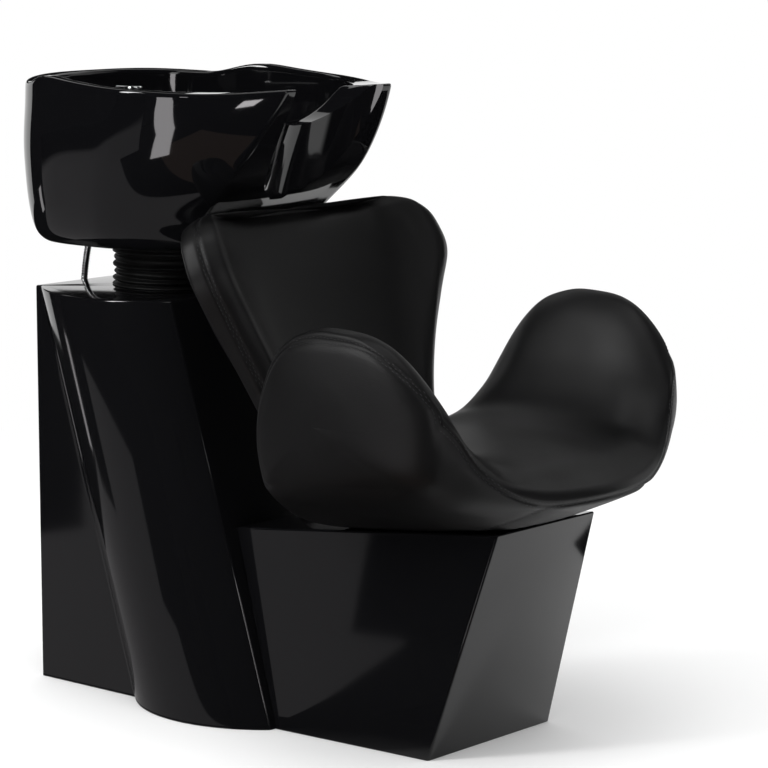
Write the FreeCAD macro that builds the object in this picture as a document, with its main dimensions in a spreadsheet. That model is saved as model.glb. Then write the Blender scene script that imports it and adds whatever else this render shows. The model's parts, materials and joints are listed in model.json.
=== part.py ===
import FreeCAD, Part

# Salon backwash unit: a tilting black ceramic basin on a leaning glossy column,
# with an upholstered backrest and a saddle seat with wing arms on a plinth.
# Millimetres, +Z up, the sitter faces -Y. Distances called reach, depth or
# "from_back" are measured forward from the column's vertical back face.

import math
import os
import re
import Sketcher
from FreeCAD import Placement, Rotation, Vector

doc = FreeCAD.newDocument("backwash_unit")
sheet = doc.addObject("Spreadsheet::Sheet", "dims")

SIZES = [
    # glossy base
    ("column_height", 620), ("column_half_width", 160), ("column_front_half", 165),
    ("column_bulge", 60), ("column_top_depth", 298), ("column_lean", 195),
    ("bulge_chord", 286), ("shell_wall", 6), ("column_roof", 8),
    ("plinth_rear_height", 289), ("plinth_front_height", 336), ("plinth_reach_top", 876),
    ("plinth_reach_floor", 774), ("plinth_half_rear", 155), ("plinth_half_front", 141),
    ("plinth_half_top", 113),
    # rear service hatch
    ("hatch_width", 208), ("hatch_height", 368), ("hatch_sill", 90), ("hatch_lip", 14),
    ("hatch_play", 0.4), ("panel_thick", 3), ("panel_screw_radius", 2), ("panel_screw_head", 4),
    # fixings of the base
    ("joint_bolt_radius", 4), ("joint_bolt_head", 7), ("joint_bolt_head_thick", 5),
    ("joint_bolt_x", 100), ("joint_bolt_low", 70), ("joint_bolt_high", 215), ("bolt_play", 0.3),
    ("bracket_width", 50), ("bracket_foot", 55), ("bracket_leg", 60), ("bracket_thick", 5),
    ("bracket_x", 80), ("anchor_radius", 5), ("anchor_setback", 32),
    # tilt hinge under the basin, its height taken from the column's roof
    ("tilt_from_back", 150), ("plate_radius", 82), ("plate_thick", 5), ("plate_bolt_circle", 62),
    ("plate_bolt_radius", 3), ("plate_bolt_head", 5.5), ("plate_bolt_head_thick", 4),
    ("hinge_from_back", 118), ("hinge_height", 35), ("hinge_pin_radius", 6),
    ("hinge_pin_head", 9), ("hinge_pin_head_thick", 4), ("hinge_nut_thick", 6), ("running_fit", 0.05),
    ("ear_thick", 5), ("ear_half_width", 14), ("lower_ear_inside", 45), ("washer_thick", 1.5),
    ("washer_radius", 12), ("face_play", 0.2),
    ("bellows_radius", 102), ("bellows_rib_depth", 11), ("bellows_wall", 3), ("bellows_ribs", 5),
    # basin, its foot taken from the hinge and its other heights from its foot
    ("basin_overhang", 36), ("basin_bottom", 35), ("basin_half_width", 255), ("basin_reach", 488),
    ("basin_ear_half", 116), ("basin_rim", 246), ("basin_rim_rear_rise", 9), ("basin_rim_step", 15),
    ("basin_wall", 16), ("basin_joint", 111), ("rim_wall", 18), ("bowl_wall", 14), ("bowl_floor", 67), ("bowl_half_width", 230),
    ("bowl_reach", 372), ("deck_height", 162), ("deck_depth", 86), ("deck_thick", 14),
    ("neck_radius", 95), ("neck_height", 185), ("recess_radius", 106), ("recess_depth", 88), ("recess_lean", 0.35),
    ("cradle_radius", 105), ("cradle_thick", 6), ("boss_radius", 16), ("boss_circle", 72),
    ("boss_bolt_radius", 4), ("boss_bolt_head", 7), ("boss_bolt_head_thick", 5), ("boss_bolt_depth", 25),
    # waste
    ("waste_from_back", 195), ("waste_hole", 24), ("waste_flange_radius", 34), ("waste_flange_thick", 3),
    ("waste_neck_radius", 23), ("waste_neck_length", 50), ("waste_bore", 19), ("waste_gasket_thick", 5),
    ("waste_nut_radius", 33), ("waste_nut_thick", 12), ("waste_tail_bottom", 7), ("waste_tail_wall", 2.5),
    ("waste_window", 31), ("catcher_rim", 26), ("catcher_depth", 18), ("catcher_wall", 1.2),
    ("catcher_play", 0.5), ("waste_hose_radius", 23), ("waste_hose_wall", 2.5), ("waste_hose_overlap", 22),
    ("outlet_top", 165), ("outlet_bottom", 45), ("outlet_radius", 20), ("outlet_wall", 3), ("outlet_step", 0.3),
    ("outlet_push_length", 55),
    ("outlet_bar_height", 105), ("outlet_bar_width", 30), ("outlet_bar_thick", 5), ("outlet_clamp_wall", 4),
    # mixer tap
    ("mixer_from_back", 40), ("mixer_hole", 17.5), ("mixer_radius", 21), ("mixer_flange", 26),
    ("mixer_flange_thick", 4), ("mixer_body_height", 36), ("mixer_shank", 16), ("mixer_shank_length", 28),
    ("mixer_nut_radius", 25), ("mixer_nut_thick", 10), ("spindle_radius", 8), ("spindle_length", 18),
    ("cap_height", 16), ("lever_width", 30), ("lever_front", 34), ("lever_rear", 19), ("lever_thick", 6),
    ("lever_rise", 8), ("stem_width", 12), ("stem_depth", 10), ("slot_play", 0.4),
    ("lever_pin_radius", 2.5), ("lever_pin_height", 8), ("inlet_radius", 5), ("inlet_length", 30),
    ("inlet_x", 9), ("nipple_radius", 6),
    # hand shower
    ("shower_x", -66), ("shower_from_back", 48), ("socket_bore", 12.4), ("socket_radius", 17),
    ("socket_hole", 17.5), ("socket_flange", 22), ("socket_flange_thick", 6), ("socket_length", 22),
    ("socket_nut_radius", 25), ("socket_nut_thick", 8), ("handle_radius", 12), ("handle_length", 78),
    ("shoulder_radius", 15), ("shoulder_thick", 5), ("head_radius", 21), ("head_thick", 17),
    ("head_rise", 26), ("head_forward", 15), ("head_tilt", 58), ("face_radius", 13), ("face_thick", 2.5),
    ("hose_nut_radius", 9), ("hose_nut_length", 18), ("hose_radius", 5.8),
    # upholstery
    ("seat_reach", 985), ("seat_rear", 562), ("seat_half_width", 315), ("seat_pan_height", 432),
    ("arm_height", 632), ("arm_x", 282), ("arm_inner", 190), ("seat_front_lip", 30), ("seat_side_lift", 16), ("seat_crown", 6),
    ("seat_front_curve", 85), ("seat_rear_curve", 28),
    ("back_foot_reach", 529), ("back_foot_height", 308), ("back_recline", 24.7), ("back_length", 461),
    ("back_half_low", 160), ("back_half_wide", 282), ("back_half_top", 207), ("back_thick", 60),
    ("back_hollow", 1000), ("wing_turn", 44), ("back_end_swell", 8), ("back_foot_curl", 30), ("cushion_play", 0.5),
    ("steel_thick", 5), ("back_plate_half", 70), ("back_plate_length", 320), ("back_leg_length", 105),
    ("back_bolt_x", 42), ("seat_plate_half", 80), ("seat_plate_start", 310), ("seat_plate_length", 140),
    ("seat_board_half", 100), ("seat_board_length", 180), ("seat_board_thick", 15),
    ("seat_bolt_x", 55), ("seat_bolt_inset", 25), ("seat_bolt_radius", 4), ("seat_bolt_head", 7),
    ("seat_bolt_head_thick", 5),
]
for row, (alias, value) in enumerate(SIZES, start=1):
    sheet.set("A%d" % row, alias)
    sheet.set("B%d" % row, str(value))
    sheet.setAlias("B%d" % row, alias)
doc.recompute()

# Values worked out from the sheet, written once.
DERIVED = {
    "back_y": "((seat_reach - basin_overhang) / 2)",
    "tilt_y": "(back_y - tilt_from_back)",
    "hinge_y": "(back_y - hinge_from_back)",
    "waste_y": "(back_y - waste_from_back)",
    "mixer_y": "(back_y - mixer_from_back)",
    "shower_y": "(back_y - shower_from_back)",
    "pin_bore": "(hinge_pin_radius + running_fit)",
    "upper_ear_inside": "(lower_ear_inside + ear_thick + washer_thick + 2 * face_play)",
    "upper_ear_outside": "(upper_ear_inside + ear_thick)",
    "hinge_level": "(column_height + hinge_height)",
    "foot_level": "(hinge_level + basin_bottom)",
    "rim_level": "(foot_level + basin_rim)",
    "joint_level": "(foot_level + basin_joint)",
    "bowl_level": "(foot_level + bowl_floor)",
    "deck_level": "(foot_level + deck_height)",
    "neck_level": "(foot_level + neck_height)",
    "tail_level": "(hinge_level - waste_tail_bottom)",
    "cradle_under": "(foot_level - cradle_thick)",
    "bowl_under": "(bowl_level - bowl_wall)",
    "deck_under": "(deck_level - deck_thick)",
    "cap_bottom": "(deck_level + mixer_flange_thick + mixer_body_height + face_play)",
    "cap_top": "(cap_bottom + cap_height)",
    "lever_axis": "(cap_top - lever_pin_height)",
    "shank_bottom": "(deck_under - mixer_shank_length)",
    "socket_top": "(deck_level + socket_flange_thick)",
    "socket_bottom": "(deck_under - socket_length)",
    "handle_bottom": "(socket_top - handle_length)",
    "flange_top": "(bowl_level + waste_flange_thick)",
}


def spell(text):
    """The expression with its worked-out values written in terms of the sheet."""
    for _ in range(8):
        text = re.sub(r"[a-z_]+", lambda m: DERIVED.get(m.group(0), m.group(0)), text)
    return text


def bound(text):
    """The expression as other objects read it from the sheet."""
    names = {alias for alias, _ in SIZES}
    return re.sub(r"[a-z_]+", lambda m: "dims." + m.group(0) if m.group(0) in names else m.group(0), spell(text))


def num(text):
    return float(sheet.evalExpression(spell(str(text))))


def place(obj, at):
    for axis, text in zip("xyz", at):
        obj.setExpression("Placement.Base." + axis, bound(text))


def cylinder(name, radius, length, at, axis="Z"):
    obj = doc.addObject("Part::Cylinder", name)
    obj.setExpression("Radius", bound(radius))
    obj.setExpression("Height", bound(length))
    if axis == "X":
        obj.Placement.Rotation = Rotation(Vector(0, 1, 0), 90)
    if axis == "Y":
        obj.Placement.Rotation = Rotation(Vector(1, 0, 0), -90)
    place(obj, at)
    return obj


def block(name, size, at):
    obj = doc.addObject("Part::Box", name)
    for prop, text in zip(("Length", "Width", "Height"), size):
        obj.setExpression(prop, bound(text))
    place(obj, at)
    return obj


def hexagon(name, radius, length, at, axis="Z"):
    obj = doc.addObject("Part::Prism", name)
    obj.Polygon = 6
    obj.setExpression("Circumradius", bound(radius))
    obj.setExpression("Height", bound(length))
    if axis == "X":
        obj.Placement.Rotation = Rotation(Vector(0, 1, 0), 90)
    place(obj, at)
    return obj


def joined(name, pieces):
    obj = doc.addObject("Part::MultiFuse", name)
    obj.Shapes = pieces
    return obj


def cut(name, base, tools):
    obj = doc.addObject("Part::Cut", name)
    obj.Base = base
    obj.Tool = tools[0] if len(tools) == 1 else joined(name + "_tools", tools)
    return obj


def grouped(name, pieces):
    obj = doc.addObject("Part::Compound", name)
    obj.Links = pieces
    return obj


def sketch_outline(sketch, points):
    """A closed outline whose corners are held by the sheet's values."""
    at = [(num(a), num(b)) for a, b in points]
    count = len(at)
    for i in range(count):
        start = Vector(at[i][0], at[i][1], 0)
        end = Vector(at[(i + 1) % count][0], at[(i + 1) % count][1], 0)
        sketch.addGeometry(Part.LineSegment(start, end))
    for i in range(count):
        sketch.addConstraint(Sketcher.Constraint("Coincident", i, 2, (i + 1) % count, 1))
    for i, (a, b) in enumerate(points):
        index = sketch.addConstraint(Sketcher.Constraint("DistanceX", -1, 1, i, 1, at[i][0]))
        sketch.setExpression("Constraints[%d]" % index, bound(a))
        index = sketch.addConstraint(Sketcher.Constraint("DistanceY", -1, 1, i, 1, at[i][1]))
        sketch.setExpression("Constraints[%d]" % index, bound(b))


def sketch_in(body, name, role):
    sketch = body.newObject("Sketcher::SketchObject", name)
    plane = [f for f in body.Origin.OriginFeatures if f.Role == role][0]
    sketch.AttachmentSupport = [(plane, "")]
    sketch.MapMode = "FlatFace"
    return sketch


def turned(name, points, at):
    """A body turned about its vertical axis from (radius, height) corners."""
    body = doc.addObject("PartDesign::Body", name)
    sketch = sketch_in(body, name + "_profile", "XZ_Plane")
    sketch_outline(sketch, points)
    spin = body.newObject("PartDesign::Revolution", name + "_turn")
    spin.Profile = sketch
    spin.ReferenceAxis = (sketch, ["V_Axis"])
    spin.Angle = 360
    place(body, at)
    return body


def side_plate(name, points, half_width, at):
    """A body padded both ways along X from (y, z) corners."""
    body = doc.addObject("PartDesign::Body", name)
    sketch = sketch_in(body, name + "_profile", "YZ_Plane")
    sketch_outline(sketch, points)
    pad = body.newObject("PartDesign::Pad", name + "_pad")
    pad.Profile = sketch
    pad.Midplane = True
    pad.setExpression("Length", bound("2 * (" + half_width + ")"))
    place(body, at)
    return body


def formed(name, shape, placement=None):
    obj = doc.addObject("Part::Feature", name)
    obj.Shape = shape
    if placement is not None:
        obj.Placement = placement
    return obj


def one_solid(shape):
    """The single solid of a boolean's result."""
    if len(shape.Solids) != 1:
        raise RuntimeError("expected one solid, found %d" % len(shape.Solids))
    return shape.Solids[0]


back_y = num("back_y")


def spot(x, from_back, height):
    return Vector(x, back_y - from_back, height)


def leaning(from_back, height, degrees):
    """A frame at the middle plane whose Z leans back by the angle and whose -Y points forward and up."""
    return Placement(spot(0, from_back, height), Rotation(Vector(1, 0, 0), -degrees))


def box_in(frame, x_half, forward_from, forward_to, up_from, up_to):
    """A block in a leaning frame, from one forward distance to another."""
    made = Part.makeBox(2 * x_half, forward_to - forward_from, up_to - up_from)
    made.translate(Vector(-x_half, -forward_to, up_from))
    return made.transformGeometry(frame.toMatrix())


def rod_in(frame, radius, x, forward, up, length, along):
    """A round rod in a leaning frame, along its forward (-Y) or upward (Z) direction."""
    direction = Vector(0, -1, 0) if along == "forward" else Vector(0, 0, 1)
    made = Part.makeCylinder(radius, length, Vector(x, -forward, up), direction)
    made.Placement = frame.multiply(made.Placement)
    return made


# The leaning column and the plinth.
column_height = num("column_height")
lean_slope = num("column_lean") / column_height
lean_angle = math.degrees(math.atan(lean_slope))
wall = num("shell_wall")
wall_along_lean = wall / math.cos(math.radians(lean_angle))


def column_front(height):
    return num("column_top_depth") + lean_slope * (column_height - height)


def column_section(height, inset, front_inset):
    """One level of the leaning part: flat front and rear, a bowed arc on each side."""
    front = column_front(height) - front_inset
    rear = column_front(height) - num("bulge_chord")
    rear_half = num("column_half_width") - inset
    front_half = num("column_front_half") - inset
    bow = num("column_half_width") + num("column_bulge") - inset
    middle = (front + rear) / 2
    right = Part.Arc(spot(rear_half, rear, height), spot(bow, middle, height), spot(front_half, front, height))
    left = Part.Arc(spot(-front_half, front, height), spot(-bow, middle, height), spot(-rear_half, rear, height))
    across_front = Part.LineSegment(spot(front_half, front, height), spot(-front_half, front, height))
    across_rear = Part.LineSegment(spot(-rear_half, rear, height), spot(rear_half, rear, height))
    return Part.Wire([g.toShape() for g in (right, across_front, left, across_rear)])


def column_form(inset, front_inset, bottom, top):
    bowed = Part.makeLoft([column_section(bottom, inset, front_inset), column_section(top, inset, front_inset)],
                          True, True)
    half = num("column_half_width") - inset
    reach = num("bulge_chord") / 2
    corners = [spot(-half, inset, bottom), spot(-half, column_front(bottom) - reach, bottom),
               spot(-half, column_front(top) - reach, top), spot(-half, inset, top)]
    upright = Part.Face(Part.makePolygon(corners + corners[:1])).extrude(Vector(2 * half, 0, 0))
    return bowed.fuse(upright).removeSplitter()


front_frame = leaning(column_front(0), 0, lean_angle)
joint_bolt_spots = [(side * num("joint_bolt_x"), up) for side in (-1, 1)
                    for up in (num("joint_bolt_low"), num("joint_bolt_high"))]
play = num("bolt_play")


def joint_holes():
    radius = num("joint_bolt_radius") + play
    return [rod_in(front_frame, radius, x, -2 * wall, up, 4 * wall, "forward") for x, up in joint_bolt_spots]


plate_bolt_spots = [(num("plate_bolt_circle") * math.cos(math.radians(a)),
                     num("tilt_from_back") - num("plate_bolt_circle") * math.sin(math.radians(a)))
                    for a in (0, 180, 62, 118)]

hatch_half = num("hatch_width") / 2
hatch_low = num("hatch_sill")
hatch_top = hatch_low + num("hatch_height")
lip = num("hatch_lip")
rebate = num("panel_thick")
column_shape = column_form(0, 0, 0, column_height)
column_shape = column_shape.cut(column_form(wall, wall_along_lean, -20, column_height - num("column_roof")))
window = Part.makeBox(2 * hatch_half, 3 * wall, hatch_top - hatch_low, spot(-hatch_half, 2 * wall, hatch_low))
seat_of_panel = Part.makeBox(2 * (hatch_half + lip), rebate + wall, hatch_top - hatch_low + 2 * lip,
                             spot(-hatch_half - lip, rebate, hatch_low - lip))
screw_spots = [(sx * (hatch_half + lip / 2), z) for sx in (-1, 1)
               for z in (hatch_low - lip / 2, (hatch_low + hatch_top) / 2, hatch_top + lip / 2)]
screw_holes = [Part.makeCylinder(num("panel_screw_radius") + play, 4 * wall, spot(x, 3 * wall, z), Vector(0, 1, 0))
               for x, z in screw_spots]
roof_holes = [Part.makeCylinder(num("waste_window"), 40, spot(0, num("waste_from_back"), column_height - 20))]
roof_holes += [Part.makeCylinder(num("plate_bolt_radius") + play, 40, spot(x, s, column_height - 20))
               for x, s in plate_bolt_spots]
column_shape = column_shape.cut([window, seat_of_panel] + screw_holes + roof_holes + joint_holes())
formed("column_shell", one_solid(column_shape))

# Plinth: flat faces, narrower to the front and top, undercut at the front.
rear_top = num("plinth_rear_height")
front_top = num("plinth_front_height")
half_rear = num("plinth_half_rear")
taper = (num("plinth_half_front") - half_rear) / (num("plinth_reach_floor") - column_front(0))
tuck = (num("plinth_half_top") - half_rear - taper * (num("plinth_reach_top") - column_front(0))) / front_top


def plinth_half(from_back, height):
    return half_rear + taper * (from_back - column_front(0)) + tuck * height


def plinth_top(from_back):
    run = num("plinth_reach_top") - column_front(rear_top)
    return rear_top + (front_top - rear_top) * (from_back - column_front(rear_top)) / run


ring = [(column_front(0), 0), (num("plinth_reach_floor"), 0), (num("plinth_reach_top"), front_top),
        (column_front(rear_top), rear_top)]
right_side = [spot(plinth_half(s, z), s, z) for s, z in ring]
left_side = [spot(-plinth_half(s, z), s, z) for s, z in ring]
plinth_faces = [Part.Face(Part.makePolygon(right_side + right_side[:1])),
                Part.Face(Part.makePolygon(left_side + left_side[:1]))]
for i in range(4):
    j = (i + 1) % 4
    corners = [right_side[i], right_side[j], left_side[j], left_side[i], right_side[i]]
    plinth_faces.append(Part.Face(Part.makePolygon(corners)))
plinth_block = Part.makeSolid(Part.makeShell(plinth_faces))
if plinth_block.Volume < 0:
    plinth_block.reverse()
floor_face = [f for f in plinth_block.Faces if abs(f.CenterOfMass.z) < 0.001]
plinth_shape = plinth_block.makeThickness(floor_face, -wall, 0.001)

top_angle = math.degrees(math.atan((front_top - rear_top) / (num("plinth_reach_top") - column_front(rear_top))))
top_frame = leaning(column_front(rear_top), rear_top, top_angle)
steel = num("steel_thick")
back_frame = leaning(num("back_foot_reach"), num("back_foot_height"), num("back_recline"))
middle_of_back = num("back_thick") / 2
foot_start = (num("back_foot_reach") + middle_of_back * math.cos(math.radians(num("back_recline")))
              - column_front(rear_top)) / math.cos(math.radians(top_angle))
seat_start = num("seat_plate_start")
seat_bolt_spots = [(sx * num("seat_bolt_x"), u) for sx in (-1, 1)
                   for u in (seat_start + num("seat_bolt_inset"),
                             seat_start + num("seat_plate_length") - num("seat_bolt_inset"))]
back_bolt_spots = [(sx * num("back_bolt_x"), foot_start + num("back_leg_length") * f)
                   for sx in (-1, 1) for f in (0.45, 0.8)]
bolt_hole = num("seat_bolt_radius") + play
top_holes = [rod_in(top_frame, bolt_hole, x, u, -3 * wall, 6 * wall, "up") for x, u in seat_bolt_spots + back_bolt_spots]
plinth_shape = plinth_shape.cut(joint_holes() + top_holes)
formed("plinth_shell", one_solid(plinth_shape))

# Bolts that hold the plinth to the column: head inside the plinth, nut inside the column.
bolts = []
for x, up in joint_bolt_spots:
    head = num("joint_bolt_head_thick")
    shank = rod_in(front_frame, num("joint_bolt_radius"), x, -wall - head, up, 2 * wall + 2 * head, "forward")
    ends = [rod_in(front_frame, num("joint_bolt_head"), x, wall, up, head, "forward"),
            rod_in(front_frame, num("joint_bolt_head"), x, -wall - head, up, head, "forward")]
    bolts.append(one_solid(shank.fuse(ends).removeSplitter()))
formed("shell_joint_bolts", Part.makeCompound(bolts))

# Hatch cover and its screws.
cover = Part.makeBox(2 * (hatch_half + lip - num("hatch_play")), rebate,
                     hatch_top - hatch_low + 2 * (lip - num("hatch_play")),
                     spot(-hatch_half - lip + num("hatch_play"), rebate, hatch_low - lip + num("hatch_play")))
cover = cover.cut(screw_holes)
formed("rear_panel", one_solid(cover))
screws = []
for x, z in screw_spots:
    length = wall + 8
    shank = Part.makeCylinder(num("panel_screw_radius"), length, spot(x, length, z), Vector(0, 1, 0))
    head = Part.makeCylinder(num("panel_screw_head"), 2, spot(x, 0, z), Vector(0, 1, 0))
    screws.append(one_solid(shank.fuse(head).removeSplitter()))
formed("rear_panel_screws", Part.makeCompound(screws))

# Floor brackets: bent strips laminated to the rear wall and to the plinth's front wall.
thick = num("bracket_thick")
foot = num("bracket_foot")
leg = num("bracket_leg")
front_slope = (num("plinth_reach_top") - num("plinth_reach_floor")) / front_top
along_front = math.sqrt(1 + front_slope ** 2)
inner_front = num("plinth_reach_floor") - wall * along_front
rear_strip = [(wall, 0), (wall + foot, 0), (wall + foot, thick), (wall + thick, thick), (wall + thick, leg), (wall, leg)]
front_strip = [(inner_front, 0), (inner_front + front_slope * leg, leg),
               (inner_front + front_slope * leg - thick * along_front, leg),
               (inner_front + front_slope * thick - thick * along_front, thick),
               (inner_front - foot, thick), (inner_front - foot, 0)]
brackets = []
for strip, hole_at in ((rear_strip, wall + num("anchor_setback")), (front_strip, inner_front - num("anchor_setback"))):
    for side in (-1, 1):
        start = side * num("bracket_x") - num("bracket_width") / 2
        outline = [spot(start, s, z) for s, z in strip]
        made = Part.Face(Part.makePolygon(outline + outline[:1])).extrude(Vector(num("bracket_width"), 0, 0))
        hole = Part.makeCylinder(num("anchor_radius"), 4 * thick, spot(side * num("bracket_x"), hole_at, -thick))
        brackets.append(one_solid(made.cut(hole)))
formed("floor_brackets", Part.makeCompound(brackets))
print("floor anchors:", [round(v, 3) for v in (back_y - wall - num("anchor_setback"),
                                               back_y - inner_front + num("anchor_setback"))])

# Lower half of the tilt hinge, bolted to the column's roof.
disc = cylinder("tilt_plate_disc", "plate_radius", "plate_thick", ("0", "tilt_y", "column_height"))
ears = []
for side, start in (("left", "-lower_ear_inside - ear_thick"), ("right", "lower_ear_inside")):
    ears.append(block("lower_ear_" + side, ("ear_thick", "2 * ear_half_width", "hinge_level - column_height"),
                      (start, "hinge_y - ear_half_width", "column_height")))
    ears.append(cylinder("lower_ear_round_" + side, "ear_half_width", "ear_thick",
                         (start, "hinge_y", "hinge_level"), "X"))
plate_cuts = [cylinder("tilt_plate_window", "waste_window", "2 * plate_thick",
                       ("0", "waste_y", "column_height - plate_thick / 2")),
              cylinder("lower_pin_bore", "pin_bore", "4 * lower_ear_inside",
                       ("-2 * lower_ear_inside", "hinge_y", "hinge_level"), "X")]
plate_body = joined("tilt_plate_body", [disc] + ears)
plate_base = cut("tilt_plate_cut", plate_body, plate_cuts)
doc.recompute()
plate_holes = [Part.makeCylinder(num("plate_bolt_radius") + play, 60, spot(x, s, column_height - 20))
               for x, s in plate_bolt_spots]
formed("tilt_base_plate", one_solid(plate_base.Shape.cut(plate_holes).removeSplitter()))
bolts = []
for x, s in plate_bolt_spots:
    head = num("plate_bolt_head_thick")
    low = column_height - num("column_roof") - head
    grip = num("column_roof") + num("plate_thick")
    shank = Part.makeCylinder(num("plate_bolt_radius"), grip + 2 * head, spot(x, s, low))
    ends = [Part.makeCylinder(num("plate_bolt_head"), head, spot(x, s, low)),
            Part.makeCylinder(num("plate_bolt_head"), head, spot(x, s, low + head + grip))]
    bolts.append(one_solid(shank.fuse(ends).removeSplitter()))
formed("tilt_base_bolts", Part.makeCompound(bolts))

# Hinge pin with its head, nut and friction washers.
pin = cylinder("hinge_pin_rod", "hinge_pin_radius",
               "2 * upper_ear_outside + 2 * face_play + hinge_pin_head_thick + hinge_nut_thick + 2",
               ("-upper_ear_outside - face_play - hinge_pin_head_thick", "hinge_y", "hinge_level"), "X")
pin_head = cylinder("hinge_pin_cap", "hinge_pin_head", "hinge_pin_head_thick",
                    ("-upper_ear_outside - face_play - hinge_pin_head_thick", "hinge_y", "hinge_level"), "X")
joined("hinge_pin", [pin, pin_head])
nut = hexagon("hinge_nut_blank", "hinge_pin_head + 1", "hinge_nut_thick",
              ("upper_ear_outside + face_play", "hinge_y", "hinge_level"), "X")
nut_bore = cylinder("hinge_nut_bore", "pin_bore", "3 * hinge_nut_thick",
                    ("upper_ear_outside - hinge_nut_thick", "hinge_y", "hinge_level"), "X")
cut("hinge_nut", nut, [nut_bore])
washers = []
for side, start in (("left", "-lower_ear_inside - ear_thick - face_play - washer_thick"),
                    ("right", "lower_ear_inside + ear_thick + face_play")):
    disc = cylinder("washer_disc_" + side, "washer_radius", "washer_thick", (start, "hinge_y", "hinge_level"), "X")
    hole = cylinder("washer_hole_" + side, "pin_bore", "3 * washer_thick",
                    (start + " - washer_thick", "hinge_y", "hinge_level"), "X")
    washers.append(cut("washer_" + side, disc, [hole]))
grouped("hinge_washers", washers)


def ring_at(radius, x, from_back, height):
    return Part.Wire([Part.Circle(spot(x, from_back, height), Vector(0, 0, 1), radius).toShape()])


# Rubber bellows round the hinge: straight cuffs and even ribs between them.
low = column_height
high = num("cradle_under")
cuff = 5
ribs = int(round(num("bellows_ribs")))
pitch = (high - low - 2 * cuff) / ribs
crest = num("bellows_radius")
root = crest - num("bellows_rib_depth")
levels = [(low, root), (low + cuff, root)]
for i in range(ribs):
    start = low + cuff + i * pitch
    levels += [(start + 0.08 * pitch, root), (start + 0.38 * pitch, crest), (start + 0.62 * pitch, crest),
               (start + 0.92 * pitch, root)]
levels += [(high - cuff, root), (high, root)]
rubber = num("bellows_wall")
outer = Part.makeLoft([ring_at(r, 0, num("tilt_from_back"), z) for z, r in levels], True, True)
inner = Part.makeLoft([ring_at(r - rubber, 0, num("tilt_from_back"), z) for z, r in levels], True, True)
formed("bellows", one_solid(outer.cut(inner)))


# Basin. A level is a broad rounded rear, bowed sides and a straight front between two corners.
def basin_level(height, rear, half, widest, front_half, front, square=2.6):
    points = []
    for i in range(7):
        a = math.radians(15 * i)
        x = half * math.cos(a) ** (2 / square)
        points.append((x, widest - (widest - rear) * math.sin(a) ** (2 / square)))
    sides = []
    for i in range(1, 5):
        t = i / 4
        sides.append((half - (half - front_half) * t ** 1.9, widest + (front - widest) * t))
    right = list(reversed(sides)) + points
    outline = right + [(-x, s) for x, s in reversed(right[:-1])]
    curve = Part.BSplineCurve()
    curve.interpolate([spot(x, s, height) for x, s in outline])
    chord = Part.LineSegment(spot(-front_half, front, height), spot(front_half, front, height))
    return Part.Wire([curve.toShape(), chord.toShape()])


basin_low = num("foot_level")
basin_half = num("basin_half_width")
overhang = num("basin_overhang")
basin_reach = num("basin_reach")
ear_half = num("basin_ear_half")
rim = num("rim_level")
basin_rise = rim - basin_low


def basin_outer(inset):
    """Outer levels from the foot to above the rim: height, rear, half width, widest place, front corner."""
    shape = [
        (0.00, -37, 70, 165, 8, 192, 4.0),
        (0.06, -25, 48, 175, 12, 180, 3.8),
        (0.18, -17, 30, 190, 16, 162, 3.5),
        (0.45, -8, 9, 215, 26, 88, 3.1),
        (0.70, -1, 0, 235, 18, 42, 2.9),
        (0.92, -1, 0, 242, 4, 8, 2.8),
        (1.10, -5, -1, 245, -6, -12, 2.8),
    ]
    wires = []
    for part, rear, narrow, widest, corner, short, square in shape:
        wires.append((basin_low + part * basin_rise, -overhang - rear + inset, basin_half - narrow - inset, widest,
                      ear_half + corner - inset, basin_reach - short - inset, square))
    return wires


def basin_loft(levels):
    return Part.makeLoft([basin_level(*level) for level in levels], True, False)


deck = num("deck_level")
bowl_low = num("bowl_level")
bowl_half = num("bowl_half_width")
bowl_reach = num("bowl_reach")
deck_depth = num("deck_depth")


def bowl_levels(grow, low):
    """The hollow under the deck's level: height, rear, half width, widest place, front corner."""
    shape = [
        (0.00, 28, 130, 200, 40, 86),
        (0.36, 14, 66, 215, 22, 44),
        (0.70, 6, 26, 230, 8, 18),
        (1.00, 0, 4, 238, 2, 4),
    ]
    wires = []
    for part, rear, narrow, widest, corner, short in shape:
        wires.append((low + part * (deck - low), deck_depth + rear - grow, bowl_half - narrow + grow, widest,
                      96 - corner + grow, bowl_reach - short + grow))
    return wires


rim_wall = num("rim_wall")
upper_levels = []
for part, half_more, reach_more in ((0.0, 0, -4), (0.45, 4, 3), (1.0, 6, 12)):
    height = deck + part * (rim + 40 - deck)
    upper_levels.append((height, -overhang + rim_wall + 2, bowl_half + half_more, 238, 94 + 8 * part,
                         bowl_reach + reach_more))

ceramic = basin_loft(basin_outer(0))
rise = num("basin_rim_rear_rise")
step = num("basin_rim_step")
rim_line = [(-overhang - 30, rim + rise + 1), (-overhang, rim + rise), (5, rim + 0.4 * rise), (48, rim),
            (66, rim + 0.1 * step), (92, rim + 0.9 * step), (112, rim + step), (190, rim + 0.42 * step),
            (280, rim), (390, rim - 5), (440, rim - 3), (basin_reach - 12, rim), (basin_reach + 40, rim + 3)]
edge = Part.BSplineCurve()
edge.interpolate([spot(-basin_half - 60, s, z) for s, z in rim_line])
above = rim + 120
first = spot(-basin_half - 60, rim_line[0][0], above)
last = spot(-basin_half - 60, rim_line[-1][0], above)
over = Part.Wire([edge.toShape(), Part.LineSegment(edge.EndPoint, last).toShape(),
                  Part.LineSegment(last, first).toShape(), Part.LineSegment(first, edge.StartPoint).toShape()])
trim = Part.Face(over).extrude(Vector(2 * basin_half + 120, 0, 0))
neck_axis = num("neck_level") + num("neck_radius")
neck = Part.makeCylinder(num("neck_radius"), 260, spot(0, basin_reach + 60, neck_axis), Vector(0, 1, 0))
lean = num("recess_lean")


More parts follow.
